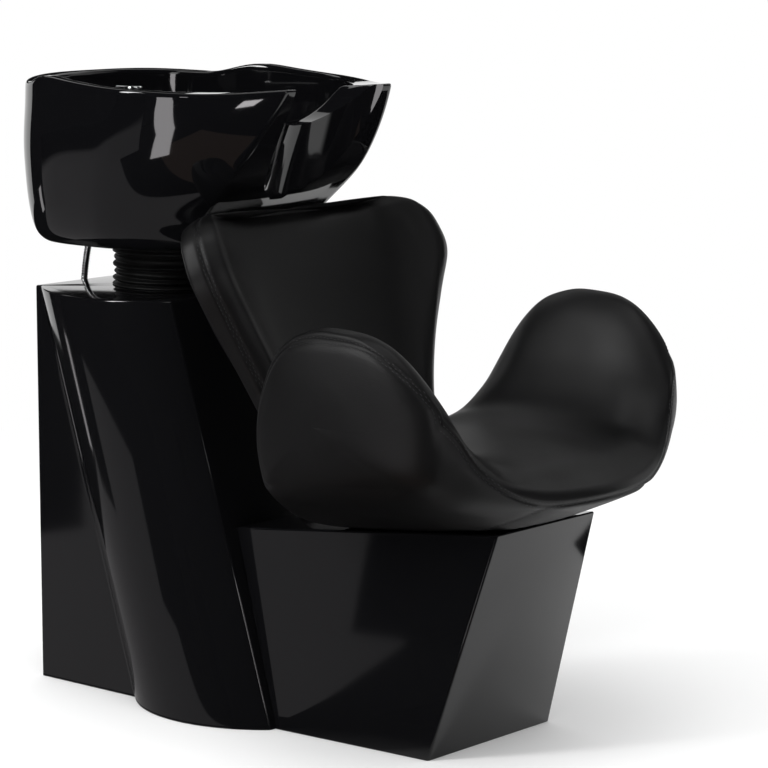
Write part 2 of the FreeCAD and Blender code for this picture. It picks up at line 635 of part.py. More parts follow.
def neck_recess(grow):
    """The hollow between the two ears, leaning back with the front face."""
    stretch = num("recess_radius") * math.sqrt(1 + lean * lean)
    low = basin_low - 40
    start = spot(0, basin_reach - num("recess_depth") + stretch + lean * (low - num("neck_level")), low)
    return Part.makeCylinder(num("recess_radius") + grow, 2 * basin_rise, start, Vector(0, -lean, 1))


hollow = basin_loft(basin_outer(num("basin_wall")))
under_deck = num("deck_under")
slab = Part.makeBox(3 * basin_half, 1200, 400, Vector(-1.5 * basin_half, back_y - 900, under_deck))
hollow = hollow.cut([slab, neck_recess(num("basin_wall")), basin_loft(bowl_levels(num("bowl_wall"), num("bowl_under")))])
boss_spots = [(num("boss_circle") * math.cos(math.radians(a)),
               num("tilt_from_back") - num("boss_circle") * math.sin(math.radians(a))) for a in (20, 160, 210, 330)]
bosses = [Part.makeCylinder(num("boss_radius"), 200, spot(x, s, basin_low - 1)) for x, s in boss_spots]
hollow = hollow.cut(bosses)
foot_gap = Part.makeBox(190, 60, 30, spot(-95, 40, basin_low - 1))
ceramic = ceramic.cut([trim, neck, neck_recess(0)])
ceramic = ceramic.cut(basin_loft(upper_levels))
ceramic = ceramic.cut(basin_loft(bowl_levels(0, bowl_low)))
ceramic = ceramic.cut(hollow)
under_hollow = Part.makeBox(4 * basin_half, 1200, 40, Vector(-2 * basin_half, back_y - 900, basin_low - 40))
bores = [Part.makeCylinder(num("waste_hole"), 60, spot(0, num("waste_from_back"), bowl_low - 40)),
         Part.makeCylinder(num("mixer_hole"), 60, spot(0, num("mixer_from_back"), deck - 40)),
         Part.makeCylinder(num("socket_hole"), 60, spot(num("shower_x"), num("shower_from_back"), deck - 40))]
bores += [Part.makeCylinder(num("boss_bolt_radius") + play, num("boss_bolt_depth") + 3, spot(x, s, basin_low - 1))
          for x, s in boss_spots]
ceramic = ceramic.cut([foot_gap, under_hollow] + bores)
pieces = sorted(ceramic.Solids, key=lambda piece: -piece.Volume)
print("basin solids:", [round(piece.Volume / 1000) for piece in pieces])
# The ceramic is cast as rim, bowl and apron, joined on one level face before firing.
cast_joint = Part.makeBox(4 * basin_half, 1200, 400, Vector(-2 * basin_half, back_y - 900, num("joint_level")))
lower = sorted(pieces[0].cut(cast_joint).Solids, key=lambda piece: -piece.BoundBox.XLength)
print("basin lower solids:", [round(piece.Volume / 1000) for piece in lower])
formed("basin_rim", one_solid(pieces[0].common(cast_joint)))
formed("basin_apron", lower[0])
formed("basin_bowl", lower[1])

# Cradle: the plate under the basin with the upper hinge ears.
disc = cylinder("cradle_disc", "cradle_radius", "cradle_thick", ("0", "tilt_y", "cradle_under"))
ears = []
for side, start in (("left", "-upper_ear_outside"), ("right", "upper_ear_inside")):
    ears.append(block("upper_ear_" + side, ("ear_thick", "2 * ear_half_width", "cradle_under - hinge_level"),
                      (start, "hinge_y - ear_half_width", "hinge_level")))
    ears.append(cylinder("upper_ear_round_" + side, "ear_half_width", "ear_thick",
                         (start, "hinge_y", "hinge_level"), "X"))
cradle_cuts = [cylinder("cradle_window", "waste_window", "3 * cradle_thick",
                        ("0", "waste_y", "cradle_under - cradle_thick")),
               cylinder("upper_pin_bore", "pin_bore", "4 * upper_ear_outside",
                        ("-2 * upper_ear_outside", "hinge_y", "hinge_level"), "X")]
cradle_base = cut("cradle_cut", joined("cradle_body", [disc] + ears), cradle_cuts)
doc.recompute()
cradle_holes = [Part.makeCylinder(num("boss_bolt_radius") + play, 40, spot(x, s, basin_low - 30)) for x, s in boss_spots]
formed("basin_cradle", one_solid(cradle_base.Shape.cut(cradle_holes).removeSplitter()))
bolts = []
for x, s in boss_spots:
    head = num("boss_bolt_head_thick")
    low = num("cradle_under") - head
    shank = Part.makeCylinder(num("boss_bolt_radius"), head + num("cradle_thick") + num("boss_bolt_depth") - 4,
                              spot(x, s, low))
    bolts.append(one_solid(shank.fuse(Part.makeCylinder(num("boss_bolt_head"), head, spot(x, s, low))).removeSplitter()))
formed("cradle_bolts", Part.makeCompound(bolts))

# Waste fitting, its lift-out hair catcher, and the pipe down the column.
waste_at = ("0", "waste_y", "0")
turned("waste_flange", [("waste_bore", "flange_top"), ("waste_bore", "flange_top - waste_neck_length"),
                        ("waste_neck_radius", "flange_top - waste_neck_length"),
                        ("waste_neck_radius", "bowl_level"), ("waste_flange_radius", "bowl_level"),
                        ("waste_flange_radius - 2", "flange_top")], waste_at)
turned("waste_gasket", [("waste_neck_radius + face_play", "bowl_under - waste_gasket_thick"),
                        ("waste_nut_radius", "bowl_under - waste_gasket_thick"),
                        ("waste_nut_radius", "bowl_under"), ("waste_neck_radius + face_play", "bowl_under")], waste_at)
nut = hexagon("waste_nut_blank", "waste_nut_radius", "waste_nut_thick",
              ("0", "waste_y", "bowl_under - waste_gasket_thick - waste_nut_thick"))
nut_bore = cylinder("waste_nut_bore", "waste_neck_radius + running_fit", "3 * waste_nut_thick",
                    ("0", "waste_y", "bowl_under - waste_gasket_thick - 2 * waste_nut_thick"))
cut("waste_nut", nut, [nut_bore])
tail_outer = "waste_bore - running_fit"
tail_top = "flange_top - waste_neck_length + 20"
turned("waste_tail", [("waste_bore - running_fit - waste_tail_wall", "tail_level"), (tail_outer, "tail_level"),
                      (tail_outer, tail_top), ("waste_bore - running_fit - waste_tail_wall", tail_top)], waste_at)
basket = "waste_bore - catcher_play"
turned("hair_catcher_cup", [("0", "flange_top + catcher_wall - catcher_depth"), ("0", "flange_top - catcher_depth"),
                            (basket, "flange_top - catcher_depth"), (basket, "flange_top"),
                            ("catcher_rim", "flange_top"), ("catcher_rim", "flange_top + catcher_wall"),
                            (basket + " - catcher_wall", "flange_top + catcher_wall"),
                            (basket + " - catcher_wall", "flange_top + catcher_wall - catcher_depth")], waste_at)
doc.recompute()
cup = doc.getObject("hair_catcher_cup")
slots = []
for i in range(8):
    a = math.radians(45 * i)
    slots.append(Part.makeCylinder(2.4, 40, spot(10 * math.cos(a), num("waste_from_back") + 10 * math.sin(a), bowl_low - 30)))
slots.append(Part.makeCylinder(2.4, 40, spot(0, num("waste_from_back"), bowl_low - 30)))
formed("hair_catcher", one_solid(cup.Shape.cut(slots)))
turned("waste_hose", [("waste_hose_radius - waste_hose_wall", "outlet_top - waste_hose_overlap"),
                      ("waste_hose_radius", "outlet_top - waste_hose_overlap"),
                      ("waste_hose_radius", "tail_level + waste_hose_overlap"),
                      ("waste_hose_radius - waste_hose_wall", "tail_level + waste_hose_overlap")], waste_at)
push_top = "outlet_bottom + outlet_push_length"
turned("waste_outlet", [("outlet_radius - outlet_wall", "outlet_bottom"), ("outlet_radius", "outlet_bottom"),
                        ("outlet_radius", push_top), ("outlet_radius - outlet_step", push_top),
                        ("outlet_radius - outlet_step", "outlet_top"), ("outlet_radius - outlet_wall", "outlet_top")], waste_at)
bar_rear = "outlet_radius + outlet_clamp_wall + outlet_bar_thick + 12"
bar = block("outlet_bar", ("2 * (column_half_width - shell_wall)", "outlet_bar_thick", "outlet_bar_width"),
            ("-column_half_width + shell_wall", "waste_y + " + bar_rear + " - outlet_bar_thick", "outlet_bar_height"))
arm = block("outlet_arm", ("16", bar_rear, "outlet_bar_width"), ("-8", "waste_y", "outlet_bar_height"))
clamp = cylinder("outlet_clamp", "outlet_radius + outlet_clamp_wall", "outlet_bar_width",
                 ("0", "waste_y", "outlet_bar_height"))
clamp_bore = cylinder("outlet_clamp_bore", "outlet_radius - outlet_step + running_fit", "3 * outlet_bar_width",
                      ("0", "waste_y", "outlet_bar_height - outlet_bar_width"))
cut("waste_bracket", joined("waste_bracket_body", [bar, arm, clamp]), [clamp_bore])

# Mixer tap on the deck: body, nut, inlets, swivelling cap and tipping lever.
mixer_at = ("0", "mixer_y", "0")
body_top = "cap_bottom - face_play"
turned("mixer_body", [("0", "shank_bottom"), ("mixer_shank", "shank_bottom"), ("mixer_shank", "deck_level"),
                      ("mixer_flange", "deck_level"), ("mixer_flange", "deck_level + mixer_flange_thick"),
                      ("mixer_radius", "deck_level + mixer_flange_thick"), ("mixer_radius", body_top),
                      ("spindle_radius + running_fit", body_top),
                      ("spindle_radius + running_fit", "cap_bottom - spindle_length - 1"),
                      ("0", "cap_bottom - spindle_length - 1")], mixer_at)
nut = hexagon("mixer_nut_blank", "mixer_nut_radius", "mixer_nut_thick", ("0", "mixer_y", "deck_under - mixer_nut_thick"))
nut_bore = cylinder("mixer_nut_bore", "mixer_shank + running_fit", "3 * mixer_nut_thick",
                    ("0", "mixer_y", "deck_under - 2 * mixer_nut_thick"))
cut("mixer_nut", nut, [nut_bore])
grouped("mixer_inlets", [cylinder("hot_inlet", "inlet_radius", "inlet_length",
                                  ("-inlet_x", "mixer_y + 4", "shank_bottom - inlet_length")),
                         cylinder("cold_inlet", "inlet_radius", "inlet_length",
                                  ("inlet_x", "mixer_y + 4", "shank_bottom - inlet_length"))])
nipple = "mixer_y - mixer_shank + nipple_radius + 0.5"
cylinder("mixer_outlet", "nipple_radius", "inlet_length", ("0", nipple, "shank_bottom - inlet_length"))
turned("mixer_cap_blank", [("0", "cap_bottom - spindle_length"), ("spindle_radius", "cap_bottom - spindle_length"),
                           ("spindle_radius", "cap_bottom"), ("mixer_radius", "cap_bottom"),
                           ("mixer_radius", "cap_top - 5"), ("mixer_radius - 5", "cap_top"), ("0", "cap_top")], mixer_at)
slot = block("cap_slot", ("stem_width + 2 * slot_play", "3 * mixer_radius", "cap_height"),
             ("-stem_width / 2 - slot_play", "mixer_y - 1.5 * mixer_radius", "lever_axis - lever_pin_radius - 3"))
cap_bore = cylinder("cap_pin_bore", "lever_pin_radius + running_fit", "3 * mixer_radius",
                    ("-1.5 * mixer_radius", "mixer_y", "lever_axis"), "X")
cut("mixer_cap", doc.getObject("mixer_cap_blank"), [slot, cap_bore])
cylinder("lever_pin", "lever_pin_radius", "2 * mixer_radius - 6", ("-mixer_radius + 3", "mixer_y", "lever_axis"), "X")
blade = side_plate("lever_blade", [("-lever_front", "cap_top + lever_rise"), ("lever_rear", "cap_top + lever_rise"),
                                   ("lever_rear", "cap_top + lever_rise + lever_thick"),
                                   ("-lever_front", "cap_top + lever_rise + lever_thick")], "lever_width / 2", mixer_at)
stem = block("lever_stem", ("stem_width", "stem_depth", "cap_top + lever_rise - lever_axis + 2"),
             ("-stem_width / 2", "mixer_y - stem_depth / 2", "lever_axis - 2"))
stem_round = cylinder("lever_stem_round", "stem_depth / 2", "stem_width", ("-stem_width / 2", "mixer_y", "lever_axis"), "X")
stem_bore = cylinder("lever_bore", "lever_pin_radius + running_fit", "3 * stem_width",
                     ("-1.5 * stem_width", "mixer_y", "lever_axis"), "X")
cut("mixer_lever", joined("lever_body", [blade, stem, stem_round]), [stem_bore])

# Hand shower in its deck socket, lifted out to use.
shower_at = ("shower_x", "shower_y", "0")
turned("shower_socket", [("socket_bore", "socket_bottom"), ("socket_radius", "socket_bottom"),
                         ("socket_radius", "deck_level"), ("socket_flange", "deck_level"),
                         ("socket_flange - 2", "socket_top"), ("socket_bore", "socket_top")], shower_at)
nut = hexagon("socket_nut_blank", "socket_nut_radius", "socket_nut_thick",
              ("shower_x", "shower_y", "deck_under - socket_nut_thick"))
nut_bore = cylinder("socket_nut_bore", "socket_radius + running_fit", "3 * socket_nut_thick",
                    ("shower_x", "shower_y", "deck_under - 2 * socket_nut_thick"))
cut("socket_nut", nut, [nut_bore])
neck_top = "socket_top + head_rise"
handle = turned("shower_handle", [("0", "handle_bottom"), ("handle_radius", "handle_bottom"),
                                  ("handle_radius", "socket_top"), ("shoulder_radius", "socket_top"),
                                  ("shoulder_radius", "socket_top + shoulder_thick"),
                                  ("handle_radius - 1", "socket_top + shoulder_thick + 4"),
                                  ("handle_radius - 2", neck_top), ("0", neck_top)], shower_at)
doc.recompute()
head_angle = num("head_tilt")
aim = Vector(0, -math.sin(math.radians(head_angle)), -math.cos(math.radians(head_angle)))
centre = spot(num("shower_x"), num("shower_from_back") + num("head_forward"), num("socket_top") + num("head_rise"))
head_start = centre - aim * (num("head_thick") / 2)
face_start = centre + aim * (num("head_thick") / 2)
head = Part.makeCylinder(num("head_radius"), num("head_thick"), head_start, aim)
head = head.makeFillet(4, [e for e in head.Edges if abs(e.Length - 2 * math.pi * num("head_radius")) < 0.01])
formed("hand_shower", one_solid(handle.Shape.fuse(head).removeSplitter()))
face = Part.makeCylinder(num("face_radius"), num("face_thick"), face_start, aim)
formed("spray_face", face)
turned("hose_nut", [("0", "handle_bottom - hose_nut_length"), ("hose_nut_radius", "handle_bottom - hose_nut_length"),
                    ("hose_nut_radius", "handle_bottom"), ("0", "handle_bottom")], shower_at)

# Shower hose: straight runs and tangent arcs, out under the basin's rear, down behind the column and back.
hose_radius = num("hose_radius")
hose_start = (num("shower_x"), num("shower_from_back"), num("handle_bottom") - num("hose_nut_length"))
hose_end = (0, num("mixer_from_back") + num("mixer_shank") - num("nipple_radius") - 0.5,
            num("shank_bottom") - num("inlet_length"))
hose_points = [hose_start, (hose_start[0], hose_start[1], hose_start[2] - 24), (-60, 31, 709), (-52, 9, 682),
               (-46, -6, 645), (-43, -15, 598), (-42, -23, 540), (-43, -31, 482), (-43, -36, 432), (-34, -38, 393),
               (-9, -37, 365), (27, -32, 360), (56, -26, 383), (69, -21, 426), (72, -18, 482), (71, -16, 544), (67, -13, 606),
               (57, -5, 656), (38, 15, 692), (13, 38, 718), (hose_end[0], hose_end[1], hose_end[2] - 30), hose_end]


def cord_wire(points):
    """Runs joined by tangent arcs as large as the shorter of their two runs allows."""
    at = [spot(*p) for p in points]
    edges = []
    radii = []
    start = at[0]
    for i in range(1, len(at) - 1):
        before = (at[i - 1] - at[i]).normalize()
        after = (at[i + 1] - at[i]).normalize()
        turn = math.pi - before.getAngle(after)
        run = min((at[i] - at[i - 1]).Length, (at[i + 1] - at[i]).Length)
        reach = 0.45 * run
        radii.append(round(reach / math.tan(turn / 2), 1))
        enter = at[i] + before * reach
        leave = at[i] + after * reach
        bisector = (before + after).normalize()
        radius = reach / math.tan(turn / 2)
        centre = at[i] + bisector * math.hypot(radius, reach)
        middle = centre - bisector * radius
        edges.append(Part.LineSegment(start, enter).toShape())
        edges.append(Part.Arc(enter, middle, leave).toShape())
        start = leave
    edges.append(Part.LineSegment(start, at[-1]).toShape())
    return Part.Wire(edges), radii


hose_path, hose_radii = cord_wire(hose_points)
print("hose radii:", hose_radii, "length:", round(hose_path.Length, 1))
first_run = spot(*hose_points[1]) - spot(*hose_points[0])
hose_ring = Part.Wire([Part.Circle(spot(*hose_start), first_run, hose_radius).toShape()])
hose = Part.Wire(hose_path).makePipeShell([hose_ring], True, True)
print("hose volume over section times length:", round(hose.Volume / (math.pi * hose_radius ** 2 * hose_path.Length), 4))
formed("shower_hose", hose)


# Backrest: a panel flat in the middle with wings curling forward, narrow at the foot, with rounded shoulders.
def back_level(up, half, thick, forward, extra):
    """One level across the reclined panel: a middle arc and two wing arcs on each face, and rounded ends."""
    half = half + extra
    rear = forward - extra
    front = forward + thick + extra
    inner = 0.5 * half
    start = math.asin(inner / num("back_hollow"))
    finish = start + (math.radians(num("wing_turn")) - start) * (half / num("back_half_wide"))
    dish = num("back_hollow") * (1 - math.cos(start))
    wing = (half - inner) * math.tan((start + finish) / 2)
    quarter = (3 * start + finish) / 4
    chord = math.hypot(half - inner, wing) / (2 * math.cos((finish - start) / 4))
    deep = thick + 2 * extra
    out = 0.95 * deep

    def point(x, forward_by):
        return Vector(x, -forward_by, up)

    def flip(place):
        return Vector(-place.x, place.y, place.z)

    rear_joint = point(inner, rear + dish)
    rear_middle = point(inner + chord * math.cos(quarter), rear + dish + chord * math.sin(quarter))
    rear_end = point(half, rear + dish + wing)
    front_end = point(half - out * math.sin(finish), rear + dish + wing + out * math.cos(finish))
    swell = num("back_end_swell")
    end_middle = point((rear_end.x + front_end.x) / 2 + swell * math.cos(finish),
                       -(rear_end.y + front_end.y) / 2 + swell * math.sin(finish))
    front_joint = point(inner - deep * math.sin(start), front + dish - deep * (1 - math.cos(start)))
    front_middle = point(rear_middle.x - deep * math.sin((start + finish) / 2),
                         -rear_middle.y + deep * math.cos((start + finish) / 2))
    edges = [Part.Arc(flip(rear_joint), point(0, rear), rear_joint), Part.Arc(rear_joint, rear_middle, rear_end),
             Part.Arc(rear_end, end_middle, front_end), Part.Arc(front_end, front_middle, front_joint),
             Part.Arc(front_joint, point(0, front), flip(front_joint)),
             Part.Arc(flip(front_joint), flip(front_middle), flip(front_end)),
             Part.Arc(flip(front_end), flip(end_middle), flip(rear_end)),
             Part.Arc(flip(rear_end), flip(rear_middle), flip(rear_joint))]
    return Part.Wire([e.toShape() for e in edges])


def back_form(extra):
    low_half = num("back_half_low")
    wide = num("back_half_wide")
    thick = num("back_thick")
    long = num("back_length")
    gain = wide - low_half
    curl = num("back_foot_curl")
    levels = [(0, low_half, thick - 12, curl), (0.09 * long, low_half, thick - 4, 0.45 * curl),
              (0.19 * long, low_half + 0.03 * gain, thick - 5, 0.12 * curl), (0.31 * long, low_half + 0.16 * gain, thick - 6, 0),
              (0.50 * long, low_half + 0.46 * gain, thick - 6, 0), (0.66 * long, low_half + 0.77 * gain, thick - 3, 0),
              (0.79 * long, wide, thick, 0), (0.89 * long, wide - 0.05 * gain, thick - 1, 0),
              (0.96 * long, 0.6 * wide + 0.4 * num("back_half_top"), thick - 9, 3), (long, num("back_half_top"), thick - 34, 14)]
    made = Part.makeLoft([back_level(up, half, t, forward, extra) for up, half, t, forward in levels], True, False)
    made.Placement = back_frame
    return made


cushion_play = num("cushion_play")
under_plinth = box_in(top_frame, 400, -700, 900, -500, 0)
upright = box_in(back_frame, num("back_plate_half"), middle_of_back - steel / 2, middle_of_back + steel / 2,
                 -40, num("back_plate_length"))
lower_leg = box_in(top_frame, num("back_plate_half"), foot_start, foot_start + num("back_leg_length"), 0, steel)
back_plate = upright.fuse(lower_leg).cut(under_plinth)
back_plate = back_plate.cut([rod_in(top_frame, bolt_hole, x, u, -3 * wall, 6 * wall, "up") for x, u in back_bolt_spots])
formed("backrest_bracket", one_solid(back_plate.removeSplitter()))
slot = box_in(back_frame, num("back_plate_half") + cushion_play, middle_of_back - steel / 2 - cushion_play,
              middle_of_back + steel / 2 + cushion_play, -60, num("back_plate_length") + cushion_play)
back_solid = back_form(0).cut([slot, under_plinth])
formed("backrest_cushion", one_solid(back_solid))


def capped_bolts(spots, grip, head_on_top):
    made = []
    for x, u in spots:
        head = num("seat_bolt_head_thick")
        shank = rod_in(top_frame, num("seat_bolt_radius"), x, u, -wall - head, wall + head + grip + head * head_on_top, "up")
        ends = [rod_in(top_frame, num("seat_bolt_head"), x, u, -wall - head, head, "up")]
        if head_on_top:
            ends.append(rod_in(top_frame, num("seat_bolt_head"), x, u, grip, head, "up"))
        made.append(one_solid(shank.fuse(ends).removeSplitter()))
    return made


formed("backrest_bolts", Part.makeCompound(capped_bolts(back_bolt_spots, steel, 1)))
seat_plate = box_in(top_frame, num("seat_plate_half"), seat_start, seat_start + num("seat_plate_length"), 0, steel)
board_start = seat_start - (num("seat_board_length") - num("seat_plate_length")) / 2
board_top = steel + num("seat_board_thick")
seat_board = box_in(top_frame, num("seat_board_half"), board_start, board_start + num("seat_board_length"), steel, board_top)
seat_holes = [rod_in(top_frame, bolt_hole, x, u, -3 * wall, 6 * wall + board_top, "up") for x, u in seat_bolt_spots]
formed("seat_mount_plate", one_solid(seat_plate.cut(seat_holes)))
formed("seat_board", one_solid(seat_board.cut(seat_holes)))
formed("seat_bolts", Part.makeCompound(capped_bolts(seat_bolt_spots, board_top - 2, 0)))

# Seat: a saddle whose sides sweep up into wing arms, drawn in underneath.
seat_reach = num("seat_reach")
seat_rear = num("seat_rear")
pan = num("seat_pan_height")
arm_top = num("arm_height")
seat_half = num("seat_half_width")
arm_x = num("arm_x")
arm_inner = num("arm_inner")
arm_curve = [(0.03, 0.48), (0.10, 0.75), (0.22, 0.93), (0.42, 1.00), (0.62, 0.985), (0.76, 0.92), (0.87, 0.80),
             (0.94, 0.70), (0.97, 0.64)]
side_lift = num("seat_side_lift")


def seat_level(x, lift, top_rise, low_rise, shrink, tuck):
    """One upright slice of the saddle: underside rising to the front, a rolled front edge, an arched top."""
    out = min(abs(x), 1.035 * arm_x) / arm_x
    rear = seat_rear + shrink + num("seat_rear_curve") * out ** 4
    front = seat_reach - shrink - tuck - num("seat_front_curve") * out ** 1.7
    span = front - rear
    knee = rear + 0.74 * span
    toe = front - 0.02 * span
    base_rear = Vector(x, back_y - rear - 0.06 * span, plinth_top(rear) + low_rise * 0.8)
    base_knee = Vector(x, back_y - knee, plinth_top(knee) + low_rise)
    crown = []
    for along, high in arm_curve:
        level = pan + num("seat_crown") * math.sin(math.pi * along) - num("seat_front_lip") * along ** 8 + lift * side_lift
        crown.append(Vector(x, back_y - rear - along * span, level + top_rise * high))
    toe_height = min(plinth_top(toe) + 0.8 * low_rise + 34, crown[-1].z - 0.07 * span, crown[-1].z - 14)
    base_toe = Vector(x, back_y - toe, toe_height)
    nose = Vector(x, back_y - front, (base_toe.z + crown[-1].z) / 2)
    heel = Vector(x, back_y - rear, (base_rear.z + crown[0].z) / 2)
    top = Part.BSplineCurve()
    top.interpolate(list(reversed(crown)))
    edges = [Part.LineSegment(base_rear, base_knee).toShape(), Part.LineSegment(base_knee, base_toe).toShape(),
             Part.Arc(base_toe, nose, crown[-1]).toShape(), top.toShape(),
             Part.Arc(crown[0], heel, base_rear).toShape()]
    return Part.Wire(edges)


rise_full = arm_top - pan - side_lift - num("seat_crown")
half_slices = [(0.0, 0.0, 0.0, 0, 0, 0), (0.45 * arm_inner, 0.0, 0.015, 0, 0, 0), (0.85 * arm_inner, 0.10, 0.12, 16, 0, 0),
               (0.5 * (arm_inner + arm_x) - 14, 0.45, 0.48, 43, 0, 0),
               (0.3 * arm_inner + 0.7 * arm_x, 0.85, 0.86, 66, 0, 0), (arm_x, 1.0, 1.0, 86, 0, 0),
               (0.42 * arm_x + 0.58 * seat_half, 1.0, 0.98, 104, 4, 14),
               (0.2 * arm_x + 0.8 * seat_half, 0.97, 0.89, 116, 9, 30), (seat_half, 0.9, 0.66, 136, 22, 62)]
slices = [(-x, *rest) for x, *rest in reversed(half_slices[1:])] + half_slices
saddle = Part.makeLoft([seat_level(x, lift, rise_full * share, low, shrink, tuck)
                        for x, lift, share, low, shrink, tuck in slices], True, False)
head_room = num("seat_bolt_head_thick") + steel + 3
pockets = [box_in(top_frame, num("back_plate_half") + cushion_play, -100, foot_start + num("back_leg_length") + cushion_play,
                  -100, head_room),
           box_in(top_frame, num("seat_plate_half") + cushion_play, seat_start - cushion_play,
                  seat_start + num("seat_plate_length") + cushion_play, -100, steel + cushion_play),
           box_in(top_frame, num("seat_board_half") + cushion_play, board_start - cushion_play,
                  board_start + num("seat_board_length") + cushion_play, -100, board_top + cushion_play),
           box_in(back_frame, num("back_plate_half") + cushion_play, middle_of_back - steel / 2 - cushion_play,
                  middle_of_back + steel / 2 + cushion_play, -60, 200)]
seat_solid = saddle.cut([back_form(cushion_play), under_plinth] + pockets)
pieces = sorted(seat_solid.Solids, key=lambda piece: -piece.Volume)
print("seat solids:", [round(piece.Volume / 1000) for piece in pieces])
formed("seat_cushion", pieces[0])

NODES = ["column_shell", "plinth_shell", "shell_joint_bolts", "rear_panel", "rear_panel_screws", "floor_brackets",
         "tilt_base_plate", "tilt_base_bolts", "hinge_pin", "hinge_nut", "hinge_washers", "bellows",
         "waste_hose", "waste_outlet", "waste_bracket", "backrest_bracket", "backrest_bolts", "backrest_cushion",
         "seat_mount_plate", "seat_board", "seat_bolts", "seat_cushion",
         "basin_rim", "basin_apron", "basin_bowl", "basin_cradle", "cradle_bolts", "waste_flange", "waste_gasket", "waste_nut", "waste_tail",
         "hair_catcher", "mixer_body", "mixer_nut", "mixer_inlets", "mixer_outlet", "mixer_cap", "lever_pin",
         "mixer_lever", "shower_socket", "socket_nut", "hand_shower", "spray_face", "hose_nut", "shower_hose"]

doc.recompute()
for obj in doc.Objects:
    if "Invalid" in obj.State or "Error" in obj.State:
        raise RuntimeError("%s failed: %s" % (obj.Label, obj.State))
os.makedirs("parts", exist_ok=True)
for name in NODES:
    obj = doc.getObject(name)
    obj.Label = name
    if obj.Shape.isNull() or not obj.Shape.isValid():
        raise RuntimeError(name + " has no valid shape")
for name in NODES:
    doc.getObject(name).Shape.exportStep("parts/" + name + ".step")
whole = Part.makeCompound([doc.getObject(name).Shape for name in NODES if name != "shower_hose"])
print("box without hose:", whole.optimalBoundingBox(False))
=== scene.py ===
import bpy
import json
import math
from mathutils import Matrix, Vector


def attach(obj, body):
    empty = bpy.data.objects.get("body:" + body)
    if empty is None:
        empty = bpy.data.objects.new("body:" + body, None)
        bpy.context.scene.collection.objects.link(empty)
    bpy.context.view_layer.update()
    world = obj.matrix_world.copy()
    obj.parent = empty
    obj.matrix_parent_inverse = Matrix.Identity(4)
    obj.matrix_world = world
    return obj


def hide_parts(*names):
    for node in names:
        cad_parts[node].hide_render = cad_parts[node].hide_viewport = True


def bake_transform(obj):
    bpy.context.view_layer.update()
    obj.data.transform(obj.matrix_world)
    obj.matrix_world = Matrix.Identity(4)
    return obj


# Salon backwash unit: gloss column and plinth, glazed basin, leatherette backrest and saddle seat.
# Forms are laid out in millimetres as (x, distance forward of the column's back, height).

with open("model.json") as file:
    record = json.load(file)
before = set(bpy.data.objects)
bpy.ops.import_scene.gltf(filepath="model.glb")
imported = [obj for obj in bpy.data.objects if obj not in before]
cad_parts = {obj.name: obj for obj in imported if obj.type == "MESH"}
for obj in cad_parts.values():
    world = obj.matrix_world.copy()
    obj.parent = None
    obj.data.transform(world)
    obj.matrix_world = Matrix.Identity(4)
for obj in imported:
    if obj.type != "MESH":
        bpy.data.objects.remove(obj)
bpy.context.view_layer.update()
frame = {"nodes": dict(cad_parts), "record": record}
nodes = frame["nodes"]
BACK = 474.5


def spot(x, forward, height):
    return Vector((x / 1000, (BACK - forward) / 1000, height / 1000))


def deselect():
    if bpy.context.mode != "OBJECT":
        bpy.ops.object.mode_set(mode="OBJECT")
    bpy.ops.object.select_all(action="DESELECT")


def pick(piece):
    deselect()
    piece.select_set(True)
    bpy.context.view_layer.objects.active = piece


def through(knots, at):
    """A smooth curve through (place, value, value, ...) knots, read at one place."""
    knots = sorted(knots)
    if at <= knots[0][0]:
        return list(knots[0][1:])
    if at >= knots[-1][0]:
        return list(knots[-1][1:])
    i = max(j for j in range(len(knots) - 1) if knots[j][0] <= at)
    a, b = knots[i], knots[i + 1]
    wide = b[0] - a[0]
    t = (at - a[0]) / wide
    out = []
    for k in range(1, len(a)):
        step = (b[k] - a[k]) / wide
        before = (a[k] - knots[i - 1][k]) / (a[0] - knots[i - 1][0]) if i > 0 else step
        after = (knots[i + 2][k] - b[k]) / (knots[i + 2][0] - b[0]) if i + 2 < len(knots) else step
        m0 = 0.0 if before * step <= 0 else 2 * before * step / (before + step)
        m1 = 0.0 if after * step <= 0 else 2 * after * step / (after + step)
        h = (2 * t ** 3 - 3 * t ** 2 + 1, t ** 3 - 2 * t ** 2 + t, -2 * t ** 3 + 3 * t ** 2, t ** 3 - t ** 2)
        out.append(h[0] * a[k] + h[1] * wide * m0 + h[2] * b[k] + h[3] * wide * m1)
    return out


# Modelling helpers: a primitive laid out, then finished with operators and applied modifiers.
def laid(name, rows, closed):
    """A grid primitive with its points laid on rows; a closed one joins its last column to its first."""
    deselect()
    rows = [list(row) + [row[0]] for row in rows] if closed else rows
    bpy.ops.mesh.primitive_grid_add(x_subdivisions=len(rows[0]) - 1, y_subdivisions=len(rows) - 1, size=1)
    piece = bpy.context.object
    piece.name = name
    piece.data.name = name
    piece.data.vertices.foreach_set("co", [c for row in rows for p in row for c in p])
    return facing_out(piece, 0.00001)


def applied(piece, kind, **settings):
    pick(piece)
    change = piece.modifiers.new(kind.lower(), kind)
    for key, value in settings.items():
        setattr(change, key, value)
    bpy.ops.object.modifier_apply(modifier=change.name)
    return piece


def rounded(piece, levels):
    return applied(piece, "SUBSURF", levels=levels, render_levels=levels)


def softened(piece, width, segments=3, angle=30):
    return applied(piece, "BEVEL", width=width / 1000, segments=segments, limit_method="ANGLE",
                   angle_limit=math.radians(angle), use_clamp_overlap=True, miter_outer="MITER_ARC")


def smooth_shaded(piece, degrees=180):
    pick(piece)
    if degrees >= 180:
        bpy.ops.object.shade_smooth()
    else:
        bpy.ops.object.shade_smooth_by_angle(angle=math.radians(degrees))
    return piece


def carved(piece, tools):
    """Each tool is cut away in turn."""
    for tool in tools:
        applied(piece, "BOOLEAN", object=tool, operation="DIFFERENCE", solver="EXACT")
        pick(tool)
        bpy.ops.object.delete()
    return piece


